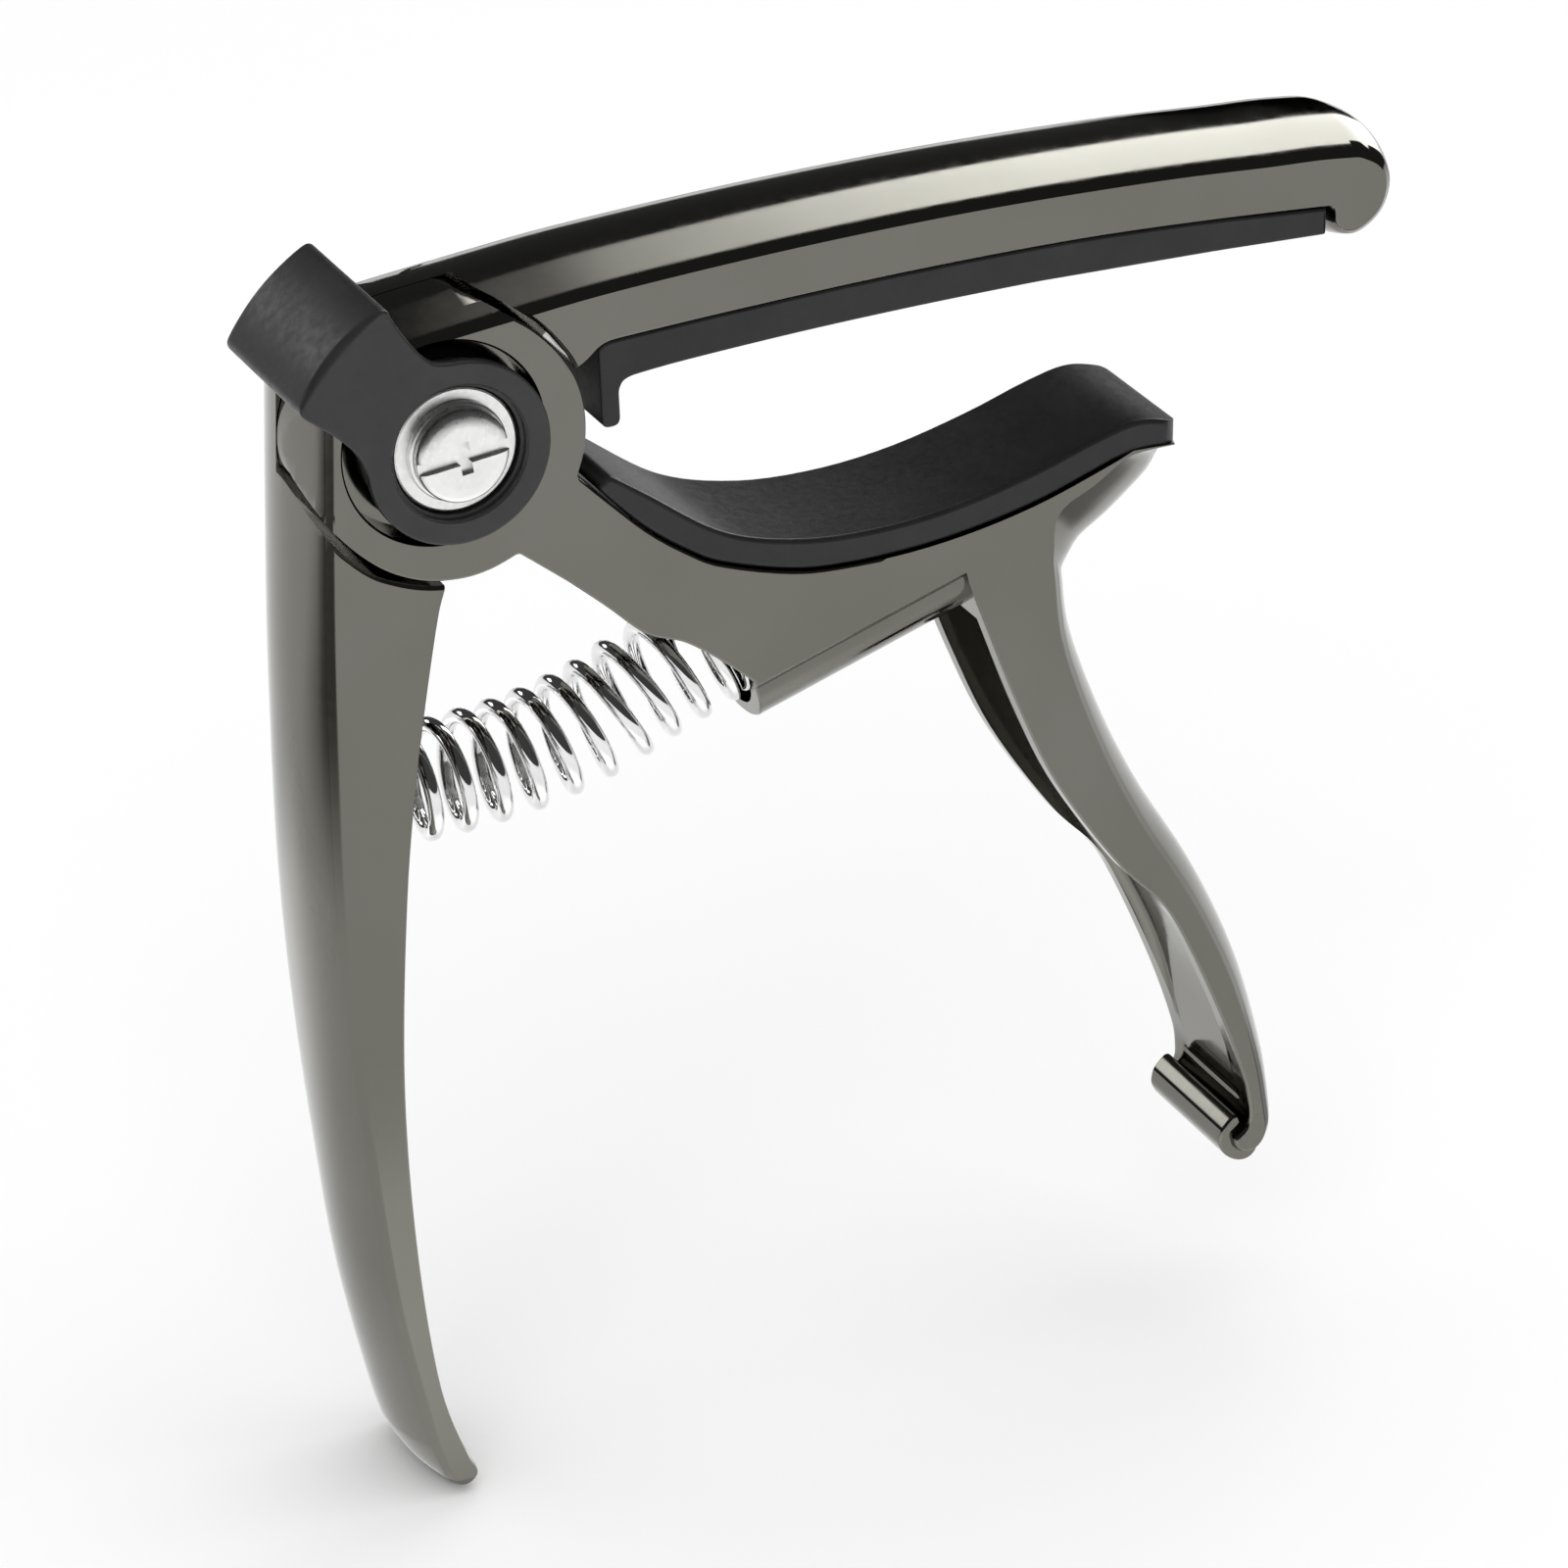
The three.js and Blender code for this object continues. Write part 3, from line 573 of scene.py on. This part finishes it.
def lever_casting():
    """String bar, corner and rear handle, with the back half of the lap."""
    outline = soften(path((10.3, 5.0, 0), ("curve", BAR_UNDER, 0),
                          ("line", [(76.3, 7.85), (76.8, 7.6), (76.95, 7.1)], 0),
                          ("curve", [(76.95, 6.6, 0.1), (77.25, 6.0, 0.4), *BAR_TIP[-2::-1]], 1),
                          ("curve", BAR_TOP[::-1], 1), ("line", [CORNER], 1), ("curve", HANDLE_OUTER, 1),
                          ("curve", HANDLE_TIP, 0.4), ("curve", HANDLE_INNER, 0),
                          ("line", [(-1.1, -6), (3, -3), (8, 2.4), (9, 4.7)], 0)))
    lever = loft("capo_lever", outline, casting_rings(LEVER_CROWN))
    disc = disc_solid("disc", DISC_RADIUS, LAP_GAP, HALF_DEPTH)
    boolean(disc, [corner_outside()])
    boolean(lever, [front_recess(), beside_tip()])
    boolean(lever, [disc], "UNION")
    boolean(lever, [clip_seat(), handle_channel()])
    boolean(lever, [peg()], "UNION")
    boolean(lever, [back_pocket(), disc_solid("bore", SLEEVE_ROOM, -THROUGH, THROUGH)])
    return dress(tidy(lever), "gunmetal_plating", "lever", "lever_casting")


def tube_solid(name, section, stations):
    """Extrudes a (y, height) section along the spring tube's axis. A station is (distance, shrink)."""
    along = Vector((math.cos(math.radians(TUBE_TILT)), 0, math.sin(math.radians(TUBE_TILT))))
    above = Vector((-along.z, 0, along.x))
    origin = Vector((TUBE_AXIS[0], 0, TUBE_AXIS[1]))
    vertices = []
    for distance, shrink in stations:
        for y, height in section:
            across = Vector((0, y * (1 - shrink), 0))
            vertices.append(tuple(origin + along * distance + above * (height * (1 - shrink)) + across))
    return skinned(name, vertices, len(section))


def tube_belly():
    """Outside of the spring tube: square above, half round below."""
    side = [(7.0, 2.0), (7.0, -1.1), (6.93, -1.25), (6.4, -1.8)]
    belly = [(6.4 * math.cos(a), -1.8 - 4.8 * math.sin(a)) for a in np.linspace(0, math.pi, 41)[1:-1]]
    section = side + belly + [(-y, h) for y, h in side[::-1]]
    return tube_solid("belly", section, [(3.2, 0.02), (3.35, 0.0), (24.2, 0.0)])


def tube_bore():
    """Blind bore that takes the end of the spring."""
    section = [(5.5 * math.cos(a), 5.5 * math.sin(a)) for a in np.linspace(0, 2 * math.pi, 65)[:-1]]
    return tube_solid("tube_bore", section, [(-20, 0.0), (14.0, 0.0)])


def trigger_channel():
    """Open channel along the side of the trigger that faces the handle."""
    inner = [(70.5, -68.7), (68.2, -60.7), (64.3, -52.9), (59.2, -44.8), (55, -36.6), (52, -28.5)]
    outline = soften(path((71.8, -73.6, 0), ("curve", inner, 1),
                          ("line", [(50.4, -23.5, 0), (43, -23.5), (40, -60), (60, -75)], 0)), corner=0.6,
                     crown_blend=0.8)
    return loft("channel", outline, channel_rings())


def jaw_back_recess():
    """Clears the lever's disc in the back half."""
    points = path((*polar(DISC_ROOM, -65), 0), ("line", arc(DISC_ROOM, -63, 50, 40)[1:], 0),
                  ("line", [*arc(14, 55, 290, 40)], 0))
    rings = [(-LAP_GAP, 0, 0), (6.7, 0, 0), (7.02, 0.32, 0.32), (THROUGH, 0.32, 0.32)]
    return loft("back_recess", soften(points, corner=0.3), rings)


def above_cradle():
    """Trims the jaw to the seat of the neck pad."""
    outline = soften(path((*polar(DISC_RADIUS, -21), 0), ("curve", CRADLE[:-1], 0),
                          ("line", [(58.9, -10.45), (61, -10.45), (72, -10.6), (72, 20), (11.3, 20)], 0),
                          ("line", arc(11.0, 2, -19, 8), 0)), corner=0.1)
    return loft("above_cradle", outline, flat_rings(-THROUGH, THROUGH))


def cradle_web(rings=17):
    """Web that swells from both faces towards mid-depth, where the trigger meets the cradle.
    It stops just short of the faces, so that its ends don't lie in them."""
    edge = curve_through(WEB, 0.7)
    inside = np.array([(61, -9, 61, -9), (50, -9, 50, -9), (47, -17, 47, -17), (49.5, -27, 49.5, -27)])
    rows = np.vstack([edge, inside])
    half = HALF_DEPTH - 0.004
    vertices = []
    for y in np.linspace(-half, half, rings):
        swell = 1 - (y / HALF_DEPTH) ** 2
        vertices += [(x0 + (x1 - x0) * swell, y, z0 + (z1 - z0) * swell) for x0, z0, x1, z1 in rows]
    return skinned("web", vertices, len(rows))


def hook_lip():
    """Bar across the hook's end, with a flat along its top."""
    outline = soften(path((*LIP[0], 0), ("line", [LIP[1]], 0), ("curve", LIP[2:], 0)), corner=0.3)
    return loft("lip", outline, plain_rings(-6.22, 6.6, 0.25))


def jaw_casting():
    """Front half of the lap, cradle, spring tube and trigger."""
    disc = polar_points(JAW_DISC[::-1])
    outline = soften(path((*polar(DISC_RADIUS, -22), 0), ("curve", CRADLE[:6], 0),
                          ("line", [(45, -9), (50, -5), (61, -5), (61, -9.5)], 0),
                          ("curve", TRIGGER_OUTER, 1), ("curve", HOOK, 1), ("curve", TRIGGER_INNER, 0),
                          ("line", [TUBE_END, (25.4, -24.7)], 0), ("curve", JAW_LOWER[::-1][1:], 0),
                          ("line", [JAW_CUSP], 0), ("curve", disc[1:], 0),
                          ("line", arc(DISC_RADIUS, 22, -18, 16), 0)))
    jaw = loft("capo_jaw", outline, casting_rings(TRIGGER_CROWN))
    boolean(jaw, [jaw_back_recess()])
    boolean(jaw, [tube_belly(), cradle_web()], "UNION")
    boolean(jaw, [above_cradle(), tube_bore(), corner_outside(), trigger_channel(), clip_seat()])
    boolean(jaw, [hook_lip()], "UNION")
    boolean(jaw, [front_pocket(), disc_solid("bore", BUSH_RADIUS, -THROUGH, THROUGH)])
    return dress(tidy(jaw), "gunmetal_plating", "jaw", "jaw_casting")


# ---- Pads ---------------------------------------------------------------------------------------
PAD_HALF_DEPTH = 6.8


def plan_solid(name, outline, low, high):
    """Extrudes an (x, y) outline straight up."""
    return skinned(name, [(x, y, z) for z in (low, high) for x, y in outline], len(outline))


def raised(points, height):
    """The same points, higher by height."""
    return [(x, z + height) for x, z in points]


def string_pad():
    """Rubber under the bar, with a heel that hangs down beside the pivot."""
    under = [(39.8, 5.2), (29.5, 4.7), (19.5, 3.98), (15.1, 3.5)]
    heel_end = [(13.8, -0.38), (13.3, -0.52), (12.67, -0.5), (12.4, -0.1)]
    outline = soften(path((12.15, 6.1, 0), ("curve", raised(BAR_UNDER[3:-1], -0.1), 0),
                          ("line", [(76.15, 7.62), (76.15, 5.35), (66, 5.5), (50, 5.5)], 0),
                          ("curve", under, 0), ("curve", [(14.2, 3.15), (13.87, 2.35)], 0),
                          ("line", [(13.97, 0.1)], 0), ("curve", heel_end, 0)), corner=0.15)
    pad = loft("string_bar_pad", outline, plain_rings(-PAD_HALF_DEPTH, PAD_HALF_DEPTH, 0.25))
    dress(tidy(pad), "pad_rubber", "lever", "string_pad")
    return pad


def neck_pad():
    """Rubber along the cradle. Its free end is rounded in plan on both sides."""
    top = [(59.8, -8.0), (56, -8.8), (50.4, -10.7), (43.4, -12.5), (36.5, -13.3), (29.5, -13), (22.7, -11.1),
           (16, -6.6), (12.9, -4.5)]
    corner, end = 2.2, 63.45
    outline = soften(path((11.9, -5.5, 0), ("curve", raised([(13.2, -7), *CRADLE[1:-1]], 0.1), 0),
                          ("line", [(60.4, -10.6), (63.3, -10.75), (end, -8.8)], 0),
                          ("curve", top, 0)), corner=0.42)
    pad = loft("neck_cradle_pad", outline, plain_rings(-PAD_HALF_DEPTH, PAD_HALF_DEPTH, 0.4))
    for sign in (-1, 1):
        middle = (end - corner, sign * (PAD_HALF_DEPTH + 0.05 - corner))
        bite = [(middle[0], sign * THROUGH), (end + 2, sign * THROUGH), (end + 2, middle[1])]
        bite += [(middle[0] + corner * math.cos(a), middle[1] + sign * corner * math.sin(a))
                 for a in np.linspace(0, math.pi / 2, 14)]
        boolean(pad, [plan_solid("pad_corner", bite, -20, 0)])
    dress(tidy(pad), "pad_rubber", "jaw", "neck_pad")
    return pad


# ---- Corner clip --------------------------------------------------------------------------------
CLIP_FROM, CLIP_TO = 114.5, 157.5


def rounded_rings(half, round_where_crowned, round_elsewhere, steps=5):
    """Straight slab whose edges have one radius where the crown weight is 1 and another elsewhere."""
    def inset(radius, depth):
        return 0.0 if depth >= radius else math.sqrt(radius**2 - (radius - depth) ** 2) - radius

    depths = sorted({round(r * (1 - math.cos(math.pi / 2 * i / steps)), 4)
                     for r in (round_where_crowned, round_elsewhere) for i in range(steps + 1)})
    front = [(-half + d, inset(round_where_crowned, d), inset(round_elsewhere, d)) for d in depths]
    return front + [(-y, crowned, plain) for y, crowned, plain in front[::-1]]


def clip_outline(ring, wall):
    """Ring round the screw, then a flared neck out to the wall. ring and wall are their radii."""
    upper_neck = [(-2.0, 7.8), (-3.1, 8.75), (-4.4, 10.4), (-5.5, 12.2)]
    lower_neck = [(-12.2, 4.6), (-10.9, 3.65), (-9.6, 2.55), (-8.3, 1.05)]
    return path((*polar(ring, 94), 0), ("curve", upper_neck, 0),
                ("line", [polar(wall - 0.35, CLIP_FROM - 0.6), polar(wall, CLIP_FROM + 1.2)], 0),
                ("line", arc(wall, CLIP_FROM + 2, CLIP_FROM + 8, 6), 0),
                ("line", arc(wall, CLIP_FROM + 9, CLIP_TO - 9, 30), 1),
                ("line", arc(wall, CLIP_TO - 8, CLIP_TO - 2, 6), 0),
                ("line", [polar(wall, CLIP_TO - 1.2), polar(wall - 0.35, CLIP_TO + 0.6)], 0),
                ("curve", [*lower_neck, polar(ring, 185)], 0), ("line", arc(ring, 188, 451, 90), 0))


def corner_clip():
    """One moulding: a ring on each face, joined by a wall across the corner."""
    clip = loft("clip_around_corner", soften(clip_outline(7.6, 14.3), corner=0.22, turn=3, longest=1.0),
                rounded_rings(7.95, 0.7, 0.25))
    inside = soften(path((*polar(13.3, 100), 0), ("line", arc(13.3, 102, 170, 40), 0),
                         ("line", arc(9, 172, 458, 90), 0)), corner=0.5)
    rounded = [(-7.15, -0.4, -0.4), (-7.03, -0.12, -0.12), (-6.75, 0, 0)]
    boolean(clip, [loft("inside", inside, rounded + [(-y, *inset) for y, *inset in rounded[::-1]])])
    for sign in (-1, 1):
        inner, outer = sorted((sign * 5.0, sign * 7.4))
        boolean(clip, [disc_solid("hub", 6.9, inner, outer)], "UNION")
    boolean(clip, [disc_solid("hole", 3.0, -THROUGH, THROUGH, 96)])
    for sign in (-1, 1):
        profile = [(0, sign * 5.9), (5.3, sign * 5.9), (5.3, sign * 7.25), (5.58, sign * 7.3),
                   (5.58, sign * 7.75), (5.9, sign * 8.1), (0, sign * 8.1)]
        boolean(clip, [turned("seat", profile)])
    return dress(tidy(clip), "clip_plastic", "lever", "corner_clip")


# ---- Pivot hardware -----------------------------------------------------------------------------
SCREW_FACE, NUT_FACE = -8.95, 8.55
SLOT_WIDTH = 0.95


def slot_cutter(face, depth, length, tilt):
    """Screwdriver slot sunk in a head whose outer face is at y = face."""
    y0, y1 = (face - depth, face + 1) if face > 0 else (face - 1, face + depth)
    c, s = math.cos(math.radians(tilt)), math.sin(math.radians(tilt))
    half, side = length / 2, SLOT_WIDTH / 2
    corners = [(-half, -side), (half, -side), (half, side), (-half, side)]
    ring = [(x * c - z * s, x * s + z * c) for x, z in corners]
    return skinned("slot", [(x, y, z) for y in (y0, y1) for x, z in ring], len(ring))


def pivot_screw():
    """Pan head with a slot and a short cross slot, on a collar and a shank."""
    head = [(0, SCREW_FACE), (2.6, SCREW_FACE), (3.35, -8.88), (3.68, -8.7), (3.82, -8.45), (3.85, -8.1),
            (3.85, -7.55)]
    collar = [(4.0, -7.5), (4.1, -7.4), (4.1, -6.97)]
    shank = [(1.6, -6.97), (1.6, 4.2), (1.3, 4.5), (0, 4.5)]
    screw = turned("pivot_screw_head", head + collar + shank)
    boolean(screw, [slot_cutter(SCREW_FACE, 0.5, 10, 8), slot_cutter(SCREW_FACE, 0.5, 2.7, 98)])
    return dress(tidy(screw), "satin_steel", "lever", "pivot_screw")


def sleeve_nut():
    """Sleeve that takes the screw, closed by a slotted head at the back."""
    sleeve = [(1.65, -5.8), (2.35, -5.8), (2.5, -5.65), (2.5, 6.97)]
    head = [(3.7, 6.97), (3.85, 7.1), (3.85, 8.1), (3.75, 8.35), (3.4, 8.52), (2.6, NUT_FACE), (0, NUT_FACE)]
    bore = [(0, 5.5), (1.65, 5.5), (1.65, -5.8)]
    nut = turned("pivot_sleeve_nut_body", sleeve + head + bore)
    boolean(nut, [slot_cutter(NUT_FACE, 0.8, 10, -12)])
    return dress(tidy(nut), "satin_steel", "lever", "pivot_sleeve_nut")


def ring_washer(name, sign, node):
    """Bright ring in the clip's seat, on the face that sign points to."""
    low, high = sign * 6.0, sign * 6.95
    profile = [(2.7, low), (5.0, low), (5.15, low + sign * 0.15), (5.15, high - sign * 0.2),
               (5.09, high - sign * 0.06), (4.95, high), (2.7, high), (2.7, low)]
    return dress(tidy(turned(name, profile)), "satin_steel", "lever", node)


# ---- Return spring ------------------------------------------------------------------------------
SPRING_AXIS = [(-8.1, PEG_HEIGHT, 0), (-1, -31.05, 0), (7, -30.35, 0), (13.5, -28.7, 0), (19, -26.2, 0),
               (26, -23.4, 0)]


def ramp_up(t, start, end):
    """0 up to start, then straight up to 1 at end."""
    return min(max((t - start) / (end - start), 0), 1)


def spring_centres(coils, radius, per_coil):
    """Middle of the wire, coil by coil along the bowed axis, with the coils at both ends closed."""
    line = curve_through(SPRING_AXIS, 0.05)[:, :2]
    length = np.r_[0, np.cumsum(np.linalg.norm(np.diff(line, axis=0), axis=1))]
    count = coils * per_coil
    ends, closed = 1.3 / coils, 0.028

    def on_axis(s):
        s = min(max(s, 0), length[-1])
        return np.array([np.interp(s, length, line[:, k]) for k in (0, 1)])

    centres = []
    for t in np.arange(count + 1) / count:
        first, middle, last = ramp_up(t, 0, ends), ramp_up(t, ends, 1 - ends), ramp_up(t, 1 - ends, 1)
        s = (closed * first + (1 - 2 * closed) * middle + closed * last) * length[-1]
        x, z = on_axis(s)
        ahead = on_axis(s + 0.2) - on_axis(s - 0.2)
        tx, tz = ahead / np.linalg.norm(ahead)
        turn = 2 * math.pi * coils * t
        up = radius * math.cos(turn)
        centres.append((x - tz * up, -radius * math.sin(turn), z + tx * up))
    return np.array(centres)


def return_spring(coils=14, radius=4.3, wire=0.65, per_coil=40, sides=14):
    """Bowed coil from the handle's peg to the jaw's tube, on neither casting's body."""
    centres = spring_centres(coils, radius, per_coil)
    tangents = np.gradient(centres, axis=0)
    tangents /= np.linalg.norm(tangents, axis=1)[:, None]
    normal = np.cross(tangents[0], (0, 0, 1))
    vertices = []
    for p, t in zip(centres, tangents):
        normal = normal - t * np.dot(normal, t)
        normal /= np.linalg.norm(normal)
        binormal = np.cross(t, normal)
        for k in range(sides):
            a = 2 * math.pi * k / sides
            vertices.append(tuple(p + wire * (normal * math.cos(a) + binormal * math.sin(a))))
    spring = skinned("return_spring_coil", vertices, sides)
    dress(tidy(spring, sharp=50), "spring_chrome", None, "return_spring")
    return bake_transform(spring)


lever_casting()
jaw_casting()
string_pad()
neck_pad()
corner_clip()
pivot_screw()
sleeve_nut()
ring_washer("front_ring", -1, "front_ring_washer")
ring_washer("rear_ring", 1, "rear_ring_washer")
return_spring()
for hidden_inside, finish in (("thrust_washer", "nylon"), ("pivot_bush", "bush_bronze")):
    node = frame["nodes"][hidden_inside]
    node.data.materials.clear()
    node.data.materials.append(MATERIALS[finish])


# ---- Camera, floor and light --------------------------------------------------------------------
LOWEST = cad_box[0][2]
AZIMUTH, ELEVATION = math.radians(-24.817), math.radians(25.372)
TO_CAMERA = Vector((math.sin(AZIMUTH) * math.cos(ELEVATION), -math.cos(AZIMUTH) * math.cos(ELEVATION),
                    math.sin(ELEVATION)))


def camera():
    data = bpy.data.cameras.new("camera")
    data.lens, data.sensor_width = 165.0, 36.0
    data.clip_start, data.clip_end = 0.01, 20
    obj = bpy.data.objects.new("camera", data)
    right = Vector((math.cos(AZIMUTH), math.sin(AZIMUTH), 0))
    turn = Matrix((right, TO_CAMERA.cross(right), TO_CAMERA)).transposed().to_4x4()
    obj.matrix_world = Matrix.Translation(to_row([(-191.6, -481.5, 213.9)])[0]) @ turn
    bpy.context.scene.collection.objects.link(obj)
    bpy.context.scene.camera = obj


def floor():
    size = 4.0
    mesh = bpy.data.meshes.new("floor")
    corners = [(x, y, LOWEST) for x, y in [(-size, -size), (size, -size), (size, size), (-size, size)]]
    mesh.from_pydata(corners, [], [(0, 1, 2, 3)])
    obj = bpy.data.objects.new("floor", mesh)
    mesh.materials.append(floor_material())
    bpy.context.scene.collection.objects.link(obj)


def reflector(name, mesh, coordinates, strength, fade_left=0.0, fade_right=0.0, fade_all=0.0):
    """Light or flag that only reflections see. Its coordinates run from -1 to 1 both ways.
    It fades towards its left edge, its right edge or every edge."""
    obj = bpy.data.objects.new(name, mesh)
    bpy.context.scene.collection.objects.link(obj)
    material = bpy.data.materials.new(name)
    material.use_nodes = True
    nodes, links = material.node_tree.nodes, material.node_tree.links
    nodes.clear()
    emission, output = nodes.new("ShaderNodeEmission"), nodes.new("ShaderNodeOutputMaterial")
    emission.inputs["Strength"].default_value = strength
    clear, mix = nodes.new("ShaderNodeBsdfTransparent"), nodes.new("ShaderNodeMixShader")
    split = nodes.new("ShaderNodeSeparateXYZ")
    links.new(nodes.new("ShaderNodeTexCoord").outputs[coordinates], split.inputs[0])

    def ramp(socket, start, end):
        node = nodes.new("ShaderNodeMapRange")
        node.interpolation_type = "SMOOTHSTEP"
        node.inputs["From Min"].default_value, node.inputs["From Max"].default_value = start, end
        links.new(socket, node.inputs["Value"])
        return node.outputs["Result"]

    def times(a, b):
        node = nodes.new("ShaderNodeMath")
        node.operation = "MULTIPLY"
        links.new(a, node.inputs[0])
        links.new(b, node.inputs[1])
        return node.outputs[0]

    amount = ramp(split.outputs["X"], -1.0, -1.0 + max(fade_left, fade_all, 0.01))
    amount = times(amount, ramp(split.outputs["X"], 1.0, 1.0 - max(fade_right, fade_all, 0.01)))
    amount = times(amount, ramp(split.outputs["Y"], 1.0, 1.0 - max(fade_all, 0.01)))
    amount = times(amount, ramp(split.outputs["Y"], -1.0, -1.0 + max(fade_all, 0.01)))
    links.new(amount, mix.inputs[0])
    links.new(clear.outputs[0], mix.inputs[1])
    links.new(emission.outputs[0], mix.inputs[2])
    links.new(mix.outputs[0], output.inputs[0])
    mesh.materials.append(material)
    obj.visible_camera = obj.visible_diffuse = obj.visible_shadow = False
    return obj


def card(name, centre, along, across, strength, fade_all=0.0):
    """Flat reflector. along and across are its half sides."""
    along, across = Vector(along), Vector(across)
    mesh = bpy.data.meshes.new(name)
    mesh.from_pydata([(-1, -1, 0), (1, -1, 0), (1, 1, 0), (-1, 1, 0)], [], [(0, 1, 2, 3)])
    obj = reflector(name, mesh, "Object", strength, fade_all=fade_all)
    turn = Matrix((along, across, along.cross(across).normalized())).transposed().to_4x4()
    obj.matrix_world = Matrix.Translation(Vector(centre)) @ turn


def mirrored_by_bar(name, turns, leans, strength, reach=1.0, steps=40, **fades):
    """Curved reflector placed where the bar's crown mirrors it, so that it follows the crown round the tip.
    turns is where the crown's outline faces and leans is how far it leans to the front, in degrees."""
    centre = to_row([(60, 0, 10)])[0]
    vertices, places = [], []
    for i in range(steps + 1):
        for j in range(5):
            turn = math.radians(turns[0] + (turns[1] - turns[0]) * i / steps)
            lean = math.radians(leans[0] + (leans[1] - leans[0]) * j / 4)
            normal = Vector((math.cos(turn), -math.tan(lean), math.sin(turn))).normalized()
            vertices.append(centre + reach * (2 * normal.dot(TO_CAMERA) * normal - TO_CAMERA))
            places.append((2 * i / steps - 1, j / 2 - 1))
    corners = [5 * i + j for i in range(steps) for j in range(4)]
    faces = [(k, k + 1, k + 6, k + 5) for k in corners]
    mesh = bpy.data.meshes.new(name)
    mesh.from_pydata([tuple(v) for v in vertices], [], faces)
    layer = mesh.uv_layers.new(name="run")
    for loop in mesh.loops:
        layer.data[loop.index].uv = places[loop.vertex_index]
    reflector(name, mesh, "UV", strength, **fades)


def area_light(name, at, size, energy):
    """Square softbox aimed at the object, which reflections don't see."""
    data = bpy.data.lights.new(name, "AREA")
    data.size, data.energy = size, energy
    obj = bpy.data.objects.new(name, data)
    obj.location = at
    obj.rotation_euler = (-Vector(at)).to_track_quat("-Z", "Y").to_euler()
    obj.visible_glossy = False
    bpy.context.scene.collection.objects.link(obj)


def world():
    """White behind the object, dim round it where it is reflected."""
    studio = bpy.data.worlds.new("studio")
    bpy.context.scene.world = studio
    studio.use_nodes = True
    nodes, links = studio.node_tree.nodes, studio.node_tree.links
    background = nodes["Background"]
    background.inputs["Color"].default_value = (1, 1, 1, 1)
    background.inputs["Strength"].default_value = 0.8
    dim, mix, path_node = (nodes.new("ShaderNodeBackground"), nodes.new("ShaderNodeMixShader"),
                           nodes.new("ShaderNodeLightPath"))
    dim.inputs["Color"].default_value = (0.05, 0.05, 0.05, 1)
    links.new(path_node.outputs["Is Glossy Ray"], mix.inputs[0])
    links.new(background.outputs[0], mix.inputs[1])
    links.new(dim.outputs[0], mix.inputs[2])
    links.new(mix.outputs[0], nodes["World Output"].inputs["Surface"])


def studio():
    """Two soft lights for the matt pieces, then the lights and flags that the plating mirrors."""
    world()
    area_light("overhead", (0.2, 0.1, 1.2), 1.4, 5)
    area_light("front_fill", (-0.6, -1.0, 0.9), 1.0, 5)
    mirrored_by_bar("bar_softbox", (103, 30), (7.5, 25), 4.6, fade_left=0.46, fade_right=0.75, fade_all=0.12)
    mirrored_by_bar("bar_flag", (84, 14), (-14, 8), 0.0, reach=0.9, fade_all=0.12)
    card("corner_softbox", (-0.30, 0.62, 0.24), (0.16, 0.02, 0), (0, 0.04, 0.12), 3.0, fade_all=0.6)
    ground = LOWEST + 0.0015
    card("left_flag", (-0.25, -0.02, ground + 0.0005), (0.13, 0, 0), (0, 0.13, 0), 0.15, fade_all=0.6)
    card("left_glow", (-0.085, 0.08, ground), (0.055, 0, 0), (0, 0.055, 0), 1.5, fade_all=0.9)
    card("front_glow", (-0.01, -0.03, ground), (0.08, 0, 0), (0, 0.05, 0), 1.5, fade_all=0.9)
    card("back_flag", (0.16, 0.36, ground), (0.16, 0, 0), (0, 0.24, 0), 0.50, fade_all=0.35)
    card("right_flag", (0.085, 0.0, ground + 0.0005), (0.05, 0, 0), (0, 0.035, 0), 0.4, fade_all=0.8)


camera()
floor()
studio()
bpy.context.scene.view_settings.view_transform = "Standard"
